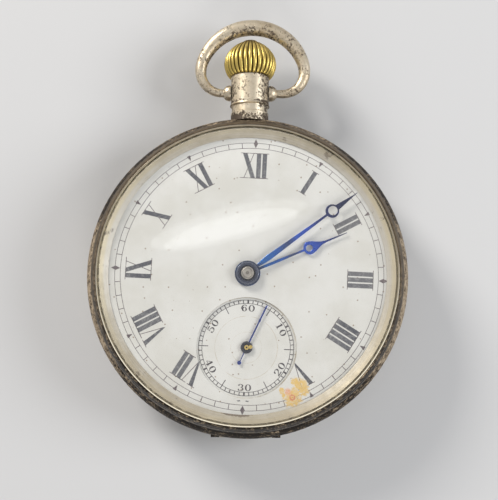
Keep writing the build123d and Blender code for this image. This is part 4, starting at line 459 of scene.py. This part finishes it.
wheelCentres = {"crownWheel": (0.0, 12.6), "ratchet": (5.2066, 6.205)}
steelTones = {
    "polished": ((0.58, 0.57, 0.55), (0.38, 0.37, 0.35)),
    "grey": ((0.40, 0.37, 0.33), (0.15, 0.135, 0.12)),
    "snailed": ((0.60, 0.59, 0.57), (0.36, 0.35, 0.34)),
    "strokes": 22.0,                                         # curved strokes round a winding wheel
    "curl": 5.0,
    "ringed": ((0.42, 0.385, 0.33), (0.11, 0.095, 0.08)),
    "ringCount": 11.0,
    "ringedMiddle": (0.10, 0.085, 0.07),
    # painted shade in the bore of the seconds collar
    "bore": (0.01, 0.008, 0.006),
}
brassTones = {
    "wheels": ((0.80, 0.60, 0.24), (0.62, 0.43, 0.15)),
    "collar": ((0.82, 0.60, 0.20), (0.55, 0.38, 0.12)),
    "gilt": ((0.74, 0.56, 0.26), (0.60, 0.43, 0.18)),
    "giltPits": (0.42, 0.28, 0.1),
}


def turnedMetal(name, tones, rough, fine=6.0, depth=0.008):
    finish = Finish(name, Metallic=1.0)
    lines = finish.turned(1.5, fine)
    film = finish.noise(0.25, 4.0, 0.6)
    finish.put(Base_Color=finish.blend((lines * 0.5 + film * 0.6).step(0.4, 0.75), *tones))
    finish.put(Roughness=film * 0.2 + (rough - 0.06))
    return finish.bump(lines, depth).material


def snailedSteel(name, x, y):                                # the curved strokes ground into a winding wheel
    finish = Finish(name, Metallic=0.95)
    angle = (finish.y - y).calc("ARCTAN2", finish.x - x)
    curl = finish.radius(x, y) * steelTones["curl"]
    strokes = (angle * steelTones["strokes"] + curl).calc("SINE").step(-0.9, 0.9)
    film = finish.noise(0.5, 4.0, 0.6)
    color = finish.blend(strokes * 0.55 + film.step(0.4, 0.7) * 0.3, *steelTones["snailed"])
    finish.put(Base_Color=color, Roughness=strokes * 0.14 + film * 0.15 + 0.12)
    return finish.bump(strokes, 0.02).material


def ringedSteel():                                           # the turned end of the cannon pinion
    finish = Finish("ringedSteel", Metallic=0.8)
    rings = (finish.radius() * steelTones["ringCount"]).calc("SINE").step(0.2, 0.95)
    film = finish.noise(1.6, 4.0, 0.65)
    color = finish.blend(rings * 0.55 + film.step(0.5, 0.75) * 0.5, *steelTones["ringed"])
    middle = finish.radius().step(0.32, 0.22)
    finish.put(Base_Color=finish.blend(middle * 0.6, color, steelTones["ringedMiddle"]))
    finish.put(Roughness=film * 0.25 + 0.25)
    return finish.bump(rings, 0.03).material


def collarBrass():                                           # the pipe of the seconds hand, with painted shade in its bore
    finish = Finish("collarBrass", Metallic=0.9)
    film = finish.noise(2.0, 3.0)
    brass = finish.blend(film.step(0.4, 0.7), *brassTones["collar"])
    # painted shade: near black in the bore
    bore = finish.radius(*secondsPivot).step(0.15, 0.1)
    finish.put(Base_Color=finish.blend(bore, brass, steelTones["bore"]), Roughness=film * 0.2 + 0.2)
    return finish.material


def gildedPlate():
    finish = Finish("gildedPlate", Metallic=0.95)
    grain = finish.noise(14.0, 3.0, 0.6)
    film = finish.noise(0.2, 4.0, 0.6)
    color = finish.blend(film.step(0.35, 0.7), *brassTones["gilt"])
    finish.put(Base_Color=finish.blend(grain.step(0.55, 0.8) * 0.35, color, brassTones["giltPits"]))
    finish.put(Roughness=film * 0.15 + 0.3)
    return finish.bump(grain, 0.012).material


rubyTones = {"deep": (0.42, 0.012, 0.05), "bright": (0.62, 0.05, 0.12)}


def ruby():
    finish = Finish("ruby", Roughness=0.08, Coat_Weight=1.0, Coat_Roughness=0.03)
    depth = finish.noise(1.4, 2.0)
    finish.put(Base_Color=finish.blend(depth.step(0.35, 0.7), rubyTones["deep"], rubyTones["bright"]))
    return finish.material


glassLook = {
    "tint": (0.95, 0.97, 0.97, 1),
    "ahead": 0.05,                                           # share of light turned back, seen square on
    "edge": 0.5,                                             # and more of it, seen along the glass
    "edgeFall": 4,
    "scuffs": 0.03,
}


def crystalGlass():                                          # a clear sheet: only what it mirrors is opaque
    finish = Finish("crystalGlass", Base_Color=glassLook["tint"], Metallic=1.0)
    facing = finish.add("ShaderNodeLayerWeight", inputs={"Blend": 0.35}, output="Facing")
    scuffs = finish.noise(3.5, 5.0, 0.75).step(0.62, 0.8)
    mirrored = facing ** glassLook["edgeFall"] * glassLook["edge"] + scuffs * glassLook["scuffs"]
    finish.put(Alpha=mirrored + glassLook["ahead"])
    finish.put(Roughness=scuffs * 0.25 + 0.06)
    return finish.material


finishes = {
    "band": bandMetal(),
    "cover": wornSilver("coverSilver", 0.45, 0.95),
    "lining": wornSilver("liningSilver", 0.25, 1.1),
    "bow": wornSilver("bowSilver", 0.5, 1.15, rounds=False, paintedShade=shadeInsideBow),
    "pendant": wornSilver("neckSilver", 0.45, 1.2, rounds=False, paintedShade=shadeOnNeck),
    "bezel": bezelMetal(),
    "dial": enamel("enamel"),
    "secondsDial": enamel("secondsEnamel", seconds=True),
    "ink": inkFinish("ink"),
    "fineInk": inkFinish("fineInk"),
    "secondsInk": inkFinish("secondsInk"),
    "blue": bluedSteel(),
    "crown": crownBrass(),
    "plate": gildedPlate(),
    "steel": turnedMetal("polishedSteel", steelTones["polished"], 0.2),
    "dullSteel": turnedMetal("greySteel", steelTones["grey"], 0.34, fine=9.0, depth=0.02),
    "brass": turnedMetal("wheelBrass", brassTones["wheels"], 0.25),
    "ringed": ringedSteel(),
    "crownWheel": snailedSteel("crownWheelSteel", *wheelCentres["crownWheel"]),
    "ratchet": snailedSteel("ratchetSteel", *wheelCentres["ratchet"]),
    "collar": collarBrass(),
    "ruby": ruby(),
    "glass": crystalGlass(),
}
nodeFinishes = {
    "band": ["case_middle"],
    "cover": ["back_cover"],
    "lining": ["inner_cover"],
    "bow": ["bow"],
    "pendant": ["pendant"],
    "bezel": ["bezel"],
    "dial": ["dial"],
    "secondsDial": ["seconds_dial"],
    "blue": ["hairspring", "bridge_screws", "ratchet_screw", "seconds_hand"],
    "crown": ["crown"],
    "plate": ["main_plate", "barrel_bridge", "train_bridge", "balance_cock", "pallet_cock"],
    "steel": [
        "hinge_pin", "winding_stem", "winding_pinion", "clutch_wheel", "setting_lever", "yoke", "setting_wheel",
        "crown_wheel_core", "click", "barrel_arbor", "centre_arbor", "third_pinion", "fourth_pinion",
        "escape_pinion", "escape_wheel", "pallet_fork", "balance_staff", "hairspring_stud", "regulator",
        "case_screws",
    ],
    "ringed": ["cannon_pinion"],
    "crownWheel": ["crown_wheel"],
    "ratchet": ["ratchet_wheel"],
    "dullSteel": ["click_spring", "mainspring", "roller"],
    "brass": [
        "barrel_drum", "barrel_cover", "centre_wheel", "third_wheel", "fourth_wheel", "minute_wheel",
        "hour_wheel", "balance_wheel", "balance_screws",
    ],
    "ruby": ["plate_jewels", "bridge_jewels", "pallet_stones"],
    "glass": ["crystal"],
}
for finishName, dressed in nodeFinishes.items():
    for nodeName in dressed:
        for materialSlot in nodes[nodeName].material_slots:
            materialSlot.material = finishes[finishName]
print("finishes made:", len(finishes))


def clearSelection():
    if bpy.context.object and bpy.context.object.mode != "OBJECT":
        bpy.ops.object.mode_set(mode="OBJECT")
    bpy.ops.object.select_all(action="DESELECT")


def settle(piece, name, look, body, smooth=None):      # name, place, finish and body of a finished piece
    clearSelection()
    piece.select_set(True)
    bpy.context.view_layer.objects.active = piece
    bpy.ops.object.transform_apply(location=True, rotation=True, scale=True)
    if smooth:
        bpy.ops.object.shade_smooth_by_angle(angle=math.radians(smooth))
    piece.name = piece.data.name = name
    piece.data.materials.clear()
    piece.data.materials.append(finishes[look])
    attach(piece, body)


def flatShapes(outlines, low, thickness, bevel=0.0):         # closed outlines in mm, filled and thickened
    clearSelection()
    curve = bpy.data.curves.new("flatShapes", "CURVE")
    curve.dimensions, curve.fill_mode = "2D", "BOTH"
    curve.extrude = (thickness / 2 - bevel) * mm
    curve.bevel_depth, curve.bevel_resolution = bevel * mm, 2
    curve.offset = -bevel * mm
    for outline in outlines:
        spline = curve.splines.new("POLY")
        spline.points.add(len(outline) - 1)
        for point, (x, y) in zip(spline.points, outline):
            point.co = (x * mm, y * mm, 0, 1)
        spline.use_cyclic_u = True
    shapes = bpy.data.objects.new("flatShapes", curve)
    scene.collection.objects.link(shapes)
    shapes.location.z = (low + thickness / 2) * mm
    shapes.select_set(True)
    bpy.context.view_layer.objects.active = shapes
    bpy.ops.object.convert(target="MESH")
    return bpy.context.object


def joined(pieces):
    clearSelection()
    for piece in pieces:
        piece.select_set(True)
    bpy.context.view_layer.objects.active = pieces[0]
    bpy.ops.object.join()
    return pieces[0]


def around(centre, radius, count):                           # points of a circle, clockwise from 12
    angles = [math.radians(360 * index / count) for index in range(count)]
    return [(centre[0] + radius * math.sin(angle), centre[1] + radius * math.cos(angle)) for angle in angles]


def ringLine(centre, radius, width, count):                  # a printed ring: its outside and its inside
    return [around(centre, radius + width / 2, count), around(centre, radius - width / 2, count)]


def stood(shape, centre, radius, degrees, turn=0.0, flip=False):   # a drawn shape set upright at a clock place
    angle = math.radians(-(degrees + turn))
    side = -1 if flip else 1
    placed = []
    for across, rise in shape:
        across, outward = across * side, radius + rise * side
        placed.append((
            centre[0] + across * math.cos(angle) - outward * math.sin(angle),
            centre[1] + across * math.sin(angle) + outward * math.cos(angle),
        ))
    return placed


def bar(start, end, width):
    start, end = Vector(start), Vector(end)
    side = Vector((start.y - end.y, end.x - start.x)).normalized() * width / 2
    return [tuple(corner) for corner in (start - side, end - side, end + side, start + side)]


# printing on the dial: the hours and the minute track
dialPrint = {
    "centre": (0.265, -0.134),
    "turn": 2.19,
    "trackOuter": 20.54,
    "trackInner": 19.7,
    "trackLine": 0.075,
    "tickLine": 0.1,
    "numeralFoot": 14.95,
    "numeralRise": 4.0,
    "stroke": 0.68,
    "strokePitch": 0.9,
    "hairline": 0.1,
    "serif": 0.3,
    "vWidth": 1.55,
    "vSpace": 0.45,
    "xWidth": 1.75,
    "xSpace": 0.35,
    "xInset": 0.2,
    "wedge": (0.3, 0.18, 0.15),                              # half width, past the track, short of its inside
    "diamond": (0.34, -0.1, -0.78, 0.62),                    # half width, waist, foot and tip from the track
    "dash": ((0.35, 0.42), (0.75, 0.5), (0.95, 0.34), (0.45, 0.3)),
    "dashPlace": 18.7,
    "ringPoints": 240,
    "thickness": 0.012,
    "hairLevel": 0.7,                                        # shares of the thickness, so that no two tops meet
    "markLevel": 1.3,
}
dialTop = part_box("dial")[1].z / mm
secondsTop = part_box("seconds_dial")[1].z / mm


def numeralStrokes(numeral, look):                           # thick strokes and hairlines of a Roman numeral
    rise, stroke, hair, serif = look["numeralRise"], look["stroke"], look["hairline"], look["serif"]
    widths = {
        "I": look["strokePitch"],
        "V": look["vWidth"] + look["vSpace"],
        "X": look["xWidth"] + look["xSpace"],
    }
    thick, fine = [], []
    place = -sum(widths[letter] for letter in numeral) / 2
    for letter in numeral:
        middle = place + widths[letter] / 2
        place += widths[letter]
        top, foot = rise - hair, hair
        if letter == "I":
            thick.append(bar((middle, foot), (middle, top), stroke))
            ends = [(middle, 0), (middle, 1)]
        elif letter == "V":
            left, right = middle - look["vWidth"] / 2, middle + look["vWidth"] / 2
            point, notch = (middle, foot * 0.4), (middle + stroke * 0.25, foot * 4)
            thick.append([(left - stroke / 2, top), point, notch, (left + stroke / 2, top)])
            fine.append(bar((middle + stroke * 0.12, foot * 3), (right, top), hair))
            ends = [(left, 1), (right, 1)]
        else:
            left = middle - look["xWidth"] / 2 + look["xInset"]
            right = middle + look["xWidth"] / 2 - look["xInset"]
            thick.append([
                (left - stroke / 2, top), (right - stroke / 2, foot),
                (right + stroke / 2, foot), (left + stroke / 2, top),
            ])
            fine.append(bar((left, foot), (right, top), hair))
            ends = [(left, 0), (left, 1), (right, 0), (right, 1)]
        for middle, high in ends:
            level = rise - hair / 2 if high else hair / 2
            reach = stroke / 2 + serif
            fine.append(bar((middle - reach, level), (middle + reach, level), hair))
    return thick, fine


def printDial(look):
    centre, turn, thickness = look["centre"], look["turn"], look["thickness"]
    inner, outer, line = look["trackInner"], look["trackOuter"], look["trackLine"]
    numerals = ["XII", "I", "II", "III", "IIII", "V", None, "VII", "VIII", "IX", "X", "XI"]
    thick, fine, marks = [], [], []
    for hour, numeral in enumerate(numerals):
        if numeral:
            bold, hair = numeralStrokes(numeral, look)
            thick += [stood(shape, centre, look["numeralFoot"], 30 * hour, turn) for shape in bold]
            fine += [stood(shape, centre, look["numeralFoot"], 30 * hour, turn) for shape in hair]
        if hour % 3:
            half, past, short = look["wedge"]
            mark = [(-half, outer + past), (0, inner + short), (half, outer + past)]
        else:
            half, waist, foot, tip = look["diamond"]
            mark = [(-half, outer + waist), (0, outer + foot), (half, outer + waist), (0, outer + tip)]
        marks.append(stood(mark, centre, 0, 30 * hour, turn))
    ticks = [
        stood(bar((0, inner + line / 2), (0, outer - line / 2), look["tickLine"]), centre, 0, 6 * minute, turn)
        for minute in range(60)
        if minute % 5
    ]
    track = [
        flatShapes(ringLine(centre, radius, line, look["ringPoints"]), dialTop, thickness)
        for radius in (inner, outer)
    ]
    dashes = [
        stood([(side * x, y) for x, y in look["dash"]], centre, look["dashPlace"], 180, turn)
        for side in (-1, 1)
    ]
    strokes = flatShapes(thick + dashes, dialTop, thickness)
    settle(strokes, "hourNumerals", "ink", "case")
    hairlines = [flatShapes([shape], dialTop, thickness * look["hairLevel"]) for shape in fine]
    track.append(flatShapes(ticks, dialTop, thickness))
    track += [flatShapes([mark], dialTop, thickness * look["markLevel"]) for mark in marks]
    settle(joined(track + hairlines), "minuteTrack", "fineInk", "case")


printDial(dialPrint)
print("dial printed")

# printing on the seconds dial
secondsPrint = {
    "turn": 2.0,
    "trackOuter": 7.215,
    "trackInner": 6.7,
    "trackLine": 0.08,
    "tickLine": 0.12,
    "boldLine": 0.26,
    "longTick": 5.75,
    "digitFoot": 5.48,
    "digitRise": 1.02,
    "digitWidth": 0.94,
    "digitPitch": 1.14,
    "thin": 0.06,
    "thick": 0.24,
    "ringPoints": 160,
    "thickness": 0.012,
    "tickLevel": 0.8,                                        # shares of the thickness, as on the dial
    "strokeLevel": 0.12,                                     # more for each stroke of a digit
}


def arc(x, y, wide, high, start, end, count=14):             # part of an ellipse, degrees anticlockwise from +x
    steps = [math.radians(start + (end - start) * index / count) for index in range(count + 1)]
    return [(x + wide * math.cos(step), y + high * math.sin(step)) for step in steps]


def oval(x, y, wide, high, count):
    return arc(x, y, wide, high, 0, 360, count)[:-1]


def penStroke(path, thin, thick):                            # a stroke that is thick where it runs up and down
    left, right = [], []
    for index, (x, y) in enumerate(path):
        ahead = Vector(path[min(index + 1, len(path) - 1)]) - Vector(path[max(index - 1, 0)])
        ahead.normalize()
        half = (thin + (thick - thin) * ahead.y ** 2) / 2
        left.append((x - ahead.y * half, y + ahead.x * half))
        right.append((x + ahead.y * half, y - ahead.x * half))
    return left + right[::-1]


def digitStrokes(digit, look):                               # unit box: x from -0.5 to 0.5, y from 0 to 1
    drawn = {
        "0": [("hoop", oval(0, 0.5, 0.5, 0.5, 28), oval(0, 0.5, 0.24, 0.44, 28))],
        "1": [
            ("pen", [(0, 0.03), (0, 1)]), ("bar", (-0.3, 0.03), (0.3, 0.03), 0.06),
            ("bar", (-0.28, 0.8), (-0.02, 0.96), 0.08),
        ],
        "2": [
            ("pen", arc(0.0, 0.7, 0.36, 0.27, 165, -50)), ("bar", (0.24, 0.5), (-0.4, 0.06), 0.1),
            ("bar", (-0.42, 0.07), (0.42, 0.07), 0.14), ("dot", -0.3, 0.74),
        ],
        "3": [
            ("pen", arc(0.0, 0.75, 0.33, 0.22, 150, -85)), ("pen", arc(0.0, 0.28, 0.38, 0.26, 85, -150)),
            ("dot", -0.26, 0.8), ("dot", -0.3, 0.2),
        ],
        "4": [
            ("pen", [(0.16, 0.03), (0.16, 1)]), ("bar", (0.1, 0.96), (-0.42, 0.3), 0.07),
            ("bar", (-0.44, 0.28), (0.42, 0.28), 0.07), ("bar", (-0.08, 0.03), (0.4, 0.03), 0.06),
        ],
        "5": [
            ("pen", arc(-0.02, 0.32, 0.4, 0.3, 125, -150)), ("bar", (-0.3, 0.5), (-0.26, 0.96), 0.07),
            ("bar", (-0.28, 0.92), (0.34, 0.92), 0.13), ("dot", -0.3, 0.2),
        ],
        "6": [
            ("hoop", oval(0.02, 0.33, 0.42, 0.33, 24), oval(0.04, 0.33, 0.17, 0.27, 24)),
            ("pen", arc(0.14, 0.36, 0.54, 0.62, 178, 75)), ("dot", 0.3, 0.86),
        ],
    }
    thin, thick = look["thin"] / look["digitWidth"], look["thick"] / look["digitWidth"]
    shapes = []
    for kind, *values in drawn[digit]:
        if kind == "hoop":
            group = values
        elif kind == "bar":
            group = [bar(*values)]
        elif kind == "dot":
            group = [oval(*values, 0.12, 0.09, 12)]
        else:
            group = [penStroke(*values, thin, thick)]
        shapes.append([[(x * look["digitWidth"], y * look["digitRise"]) for x, y in shape] for shape in group])
    return shapes


def printSeconds(look):
    turn, line, thickness = look["turn"], look["trackLine"], look["thickness"]
    inner, outer, centre = look["trackInner"], look["trackOuter"], secondsDialCentre
    layers = [
        flatShapes(ringLine(centre, radius, line, look["ringPoints"]), secondsTop, thickness)
        for radius in (inner, outer)
    ]
    ticks = []
    for second in range(60):
        start = look["longTick"] if second % 10 == 5 else inner + line / 2
        width = look["tickLine"] if second % 10 else look["boldLine"]
        tick = bar((0, start), (0, outer - line / 2), width)
        ticks.append(stood(tick, centre, 0, 6 * second, turn))
    layers.append(flatShapes(ticks, secondsTop, thickness * look["tickLevel"]))
    for second, number in enumerate(("60", "10", "20", "30", "40", "50")):
        turned = number in ("20", "30", "40")
        for index, digit in enumerate(number):
            shift = (index - 0.5) * look["digitPitch"]
            radius = look["digitFoot"] + (look["digitRise"] if turned else 0)
            for depth, group in enumerate(digitStrokes(digit, look)):
                shifted = [[(x + shift, y) for x, y in shape] for shape in group]
                placed = [stood(shape, centre, radius, 60 * second, turn, flip=turned) for shape in shifted]
                level = 1 + look["strokeLevel"] * depth
                layers.append(flatShapes(placed, secondsTop, thickness * level))
    settle(joined(layers), "secondsTrack", "secondsInk", "case")


printSeconds(secondsPrint)
print("seconds dial printed")

# hands: bevelled blued steel, each outline a run of widths and discs from the tail to the tip
handLooks = {
    "minute": {
        "node": "minute_hand", "body": "cannon", "centre": (0, 0), "turn": 53.0, "bore": 0.97,
        "parts": (
            ("disc", 1.7, 0), ("wide", 0.42, 1.9), ("wide", 0.74, 3.0), ("wide", 0.86, 4.2), ("wide", 0.7, 7.4),
            ("wide", 0.46, 12.0), ("wide", 0.34, 15.0), ("disc", 1.05, 16.1), ("wide", 0.9, 17.05),
            ("wide", 0.78, 17.6), ("wide", 0.52, 18.7), ("wide", 0.26, 19.8), ("wide", 0.06, 20.95),
        ),
        "hole": (0.72, 16.22),
    },
    "hour": {
        "node": "hour_hand", "body": "hour", "centre": (0, 0), "turn": 67.0, "bore": 1.36,
        "parts": (
            ("disc", 1.95, 0), ("wide", 0.42, 2.4), ("wide", 0.44, 5.2), ("wide", 0.3, 8.2),
            ("wide", 0.34, 9.2), ("disc", 1.0, 10.3), ("wide", 1.7, 10.95), ("wide", 1.1, 11.55),
            ("wide", 0.56, 12.2), ("wide", 0.3, 13.0), ("wide", 0.22, 14.6), ("wide", 0.07, 16.5),
        ),
        "hole": (0.52, 10.2),
    },
    "seconds": {
        "node": "seconds_hand", "body": "fourth", "centre": secondsPivot, "turn": 25.4, "bore": 0.23,
        "parts": (
            ("disc", 0.31, -2.55), ("wide", 0.15, -2.2), ("wide", 0.17, -1.0), ("disc", 0.92, 0),
            ("wide", 0.26, 1.1), ("wide", 0.22, 4.25), ("wide", 0.36, 4.5), ("wide", 0.24, 4.8),
            ("wide", 0.26, 6.8), ("wide", 0.08, 7.1),
        ),
    },
}
handShape = {
    "bevel": 0.035,
    "discSteps": 20,
    "borePoints": 40,
    "holePoints": 36,
    "smooth": 35,
}


def handOutline(parts):                                      # the outside of a hand that points along +y
    side = []
    for index, (kind, size, along) in enumerate(parts):
        if kind == "wide":
            side.append((size / 2, along))
            continue
        before = parts[index - 1][1] / 2 if index else 0
        first = math.asin(before / size)
        last = math.pi - math.asin(parts[index + 1][1] / 2 / size)
        steps = handShape["discSteps"]
        angles = [first + (last - first) * step / steps for step in range(steps + 1)]
        side += [(size * math.sin(angle), along - size * math.cos(angle)) for angle in angles]
    return side + [(-x, y) for x, y in side[::-1] if abs(x) > 1e-6]


def makeHand(look):
    low, high = [corner.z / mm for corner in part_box(look["node"])]
    centre, turn = look["centre"], look["turn"]
    bore = around(centre, look["bore"], handShape["borePoints"])
    outlines = [stood(handOutline(look["parts"]), centre, 0, turn), bore]
    if "hole" in look:
        size, along = look["hole"]
        outlines.append(stood(around((0, along), size, handShape["holePoints"]), centre, 0, turn))
    hand = flatShapes(outlines, low, high - low, bevel=handShape["bevel"])
    name = look["node"].replace("_hand", "Hand")
    settle(hand, name, "blue", look["body"], smooth=handShape["smooth"])
    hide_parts(look["node"])


for look in handLooks.values():
    makeHand(look)

collarLook = {
    "radius": 0.36,
    "bore": 0.13,
    "height": 0.1,
    "lip": 0.06,
    "sides": 40,
}


def makeCollar(look):                                        # the brass pipe of the seconds hand
    clearSelection()
    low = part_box("seconds_hand")[1].z
    x, y = secondsPivot
    place = Vector((x * mm, y * mm, low + look["height"] / 2 * mm))
    radius, height = look["radius"] * mm, look["height"] * mm
    bpy.ops.mesh.primitive_cylinder_add(vertices=look["sides"], radius=radius, depth=height, location=place)
    collar = bpy.context.object
    bpy.ops.object.transform_apply(location=True, rotation=True, scale=True)
    for polygon in collar.data.polygons:
        polygon.select = polygon.normal.z > 0.9
    bpy.ops.object.mode_set(mode="EDIT")
    bpy.ops.mesh.select_mode(type="FACE")
    for width in (look["lip"], look["radius"] - look["lip"] - look["bore"]):     # the lip's step, then the bore
        bpy.ops.mesh.inset(thickness=width * mm, depth=0)
        bpy.ops.mesh.extrude_region_move(TRANSFORM_OT_translate={"value": (0, 0, -look["lip"] * 0.5 * mm)})
    settle(collar, "secondsCollar", "collar", "fourth", smooth=40)


makeCollar(collarLook)
print("hands made")

# crown: a circle whose vertices are drawn in by their place on a rib, then raised ring by ring
crownLook = {
    "steps": 8,                                              # vertices to a rib
    "depth": 0.11,                                           # of a groove, as a share of the radius
    "foot": 31.99,
    "stations": (                                            # height over the foot, radius
        (0.0, 3.30), (0.12, 3.48), (0.7, 3.86), (1.4, 4.10), (2.2, 4.20), (3.0, 4.08), (3.8, 3.72), (4.5, 3.18),
        (5.05, 2.58), (5.48, 1.92), (5.72, 1.42),
    ),
    "hollow": 2.75,
    "hollowDepth": 1.5,
    "button": ((5.8, 1.3), (5.98, 1.1), (6.12, 0.7), (6.18, 0.2)),
}


def makeCrown(look):
    clearSelection()
    axis = Vector((0, look["foot"], stemHeight)) * mm
    count = crownRibs * look["steps"]
    radius = look["stations"][0][1]
    upright = (math.pi / 2, 0, 0)
    bpy.ops.mesh.primitive_circle_add(vertices=count, radius=radius * mm, location=axis, rotation=upright)
    crown = bpy.context.object
    bpy.ops.object.transform_apply(location=True, rotation=True, scale=True)
    bpy.ops.object.mode_set(mode="EDIT")
    bpy.ops.mesh.select_mode(type="VERT")
    for turn in range(1, look["steps"]):
        across = 2 * turn / look["steps"] - 1
        fall = look["depth"] * (1 - math.sqrt(max(1 - across ** 2, 0)))
        grow = look["depth"] - fall
        bpy.ops.mesh.select_all(action="DESELECT")
        bpy.ops.object.mode_set(mode="OBJECT")
        for vertex in crown.data.vertices:
            angle = math.atan2(vertex.co.z - axis.z, vertex.co.x)
            step = round(angle / (2 * math.pi) * count)
            vertex.select = (step + look["steps"] // 2) % look["steps"] == turn
        bpy.ops.object.mode_set(mode="EDIT")
        size = 1 + grow / (1 - look["depth"])
        bpy.ops.transform.resize(value=(size, size, size), center_override=axis)
    bpy.ops.mesh.select_all(action="SELECT")
    fit = 1 - look["depth"]
    bpy.ops.transform.resize(value=(fit, 1, fit), center_override=axis)
    place, size = look["stations"][0]
    for height, wide in look["stations"][1:] + look["button"]:
        bpy.ops.mesh.extrude_region_move(TRANSFORM_OT_translate={"value": (0, (height - place) * mm, 0)})
        bpy.ops.transform.resize(value=(wide / size, 1, wide / size), center_override=axis)
        place, size = height, wide
    bpy.ops.mesh.edge_face_add()
    bpy.ops.mesh.select_all(action="DESELECT")
    bpy.ops.object.mode_set(mode="OBJECT")
    for vertex in crown.data.vertices:
        vertex.select = abs(vertex.co.y - axis.y) < 1e-6
    bpy.ops.object.mode_set(mode="EDIT")
    hollow = look["hollow"] / look["stations"][0][1]
    bpy.ops.mesh.extrude_region_move(TRANSFORM_OT_translate={"value": (0, 0, 0)})
    bpy.ops.transform.resize(value=(hollow, 1, hollow), center_override=axis)
    bpy.ops.mesh.extrude_region_move(TRANSFORM_OT_translate={"value": (0, look["hollowDepth"] * mm, 0)})
    bpy.ops.mesh.edge_face_add()
    bpy.ops.mesh.select_all(action="SELECT")
    bpy.ops.mesh.normals_make_consistent(inside=False)
    settle(crown, "flutedCrown", "crown", "stem", smooth=40)
    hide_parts("crown")


makeCrown(crownLook)
print("crown made")

# floor, lamps and world
stageLook = {
    "floorSize": 1.2,
    "floorGap": 0.00002,
    "floorColor": (0.60, 0.60, 0.60, 1),
    "floorRoughness": 0.9,
    "worldColor": (0.88, 0.89, 0.92, 1),
    "worldStrength": 0.27,
    "backdrop": 0.62,                                        # how pale the room looks to the eye and in metal
    "aim": (0, 0.003, 0.008),                                # the stage's lengths are in metres
    "lamps": (                                               # name, place, width and height, power, colour
        ("keyLamp", (-0.29, 0.33, 0.23), (0.18, 0.18), 2.3, (1.0, 0.97, 0.93)),
        ("fillLamp", (0.36, 0.02, 0.23), (0.22, 0.22), 1.1, (0.95, 0.97, 1.0)),
        ("frontLamp", (0.02, -0.36, 0.22), (0.22, 0.22), 0.65, (1.0, 0.98, 0.96)),
        ("sheenLamp", (-0.035, 0.13, 0.43), (0.28, 0.05), 0.062, (1.0, 1.0, 1.0)),
    ),
}


def makeStage(look):
    clearSelection()
    bpy.ops.mesh.primitive_plane_add(size=look["floorSize"], location=(0, 0, cadBox[0].z - look["floorGap"]))
    floor = bpy.context.object
    floor.name = "floor"
    paper = bpy.data.materials.new("palePaper")
    paper.use_nodes = True
    shader = paper.node_tree.nodes["Principled BSDF"]
    shader.inputs["Base Color"].default_value = look["floorColor"]
    shader.inputs["Roughness"].default_value = look["floorRoughness"]
    floor.data.materials.append(paper)
    bpy.ops.object.transform_apply(location=True, rotation=True, scale=True)
    for name, place, size, power, color in look["lamps"]:
        data = bpy.data.lights.new(name, "AREA")
        data.shape, data.energy, data.color = "ELLIPSE", power, color
        data.size, data.size_y = size
        lamp = bpy.data.objects.new(name, data)
        lamp.location = place
        lamp.rotation_mode = "QUATERNION"
        lamp.rotation_quaternion = (Vector(look["aim"]) - Vector(place)).to_track_quat("-Z", "Y")
        scene.collection.objects.link(lamp)
    world = bpy.data.worlds.new("paleRoom")
    world.use_nodes = True
    tree = world.node_tree
    background = tree.nodes["Background"]
    background.inputs["Color"].default_value = look["worldColor"]
    rays, level = tree.nodes.new("ShaderNodeLightPath"), tree.nodes.new("ShaderNodeMapRange")
    level.inputs["To Min"].default_value = look["worldStrength"]
    level.inputs["To Max"].default_value = look["backdrop"]
    seen, also = tree.nodes.new("ShaderNodeMath"), tree.nodes.new("ShaderNodeMath")
    seen.operation = also.operation = "MAXIMUM"
    for source, target in (
        (rays.outputs["Is Camera Ray"], seen.inputs[0]),
        (rays.outputs["Is Glossy Ray"], seen.inputs[1]),
        (seen.outputs[0], also.inputs[0]),
        (rays.outputs["Is Transmission Ray"], also.inputs[1]),
        (also.outputs[0], level.inputs["Value"]),
        (level.outputs[0], background.inputs["Strength"]),
    ):
        tree.links.new(source, target)
    scene.world = world


makeStage(stageLook)
print("stage set")
scene.view_settings.view_transform = "Standard"
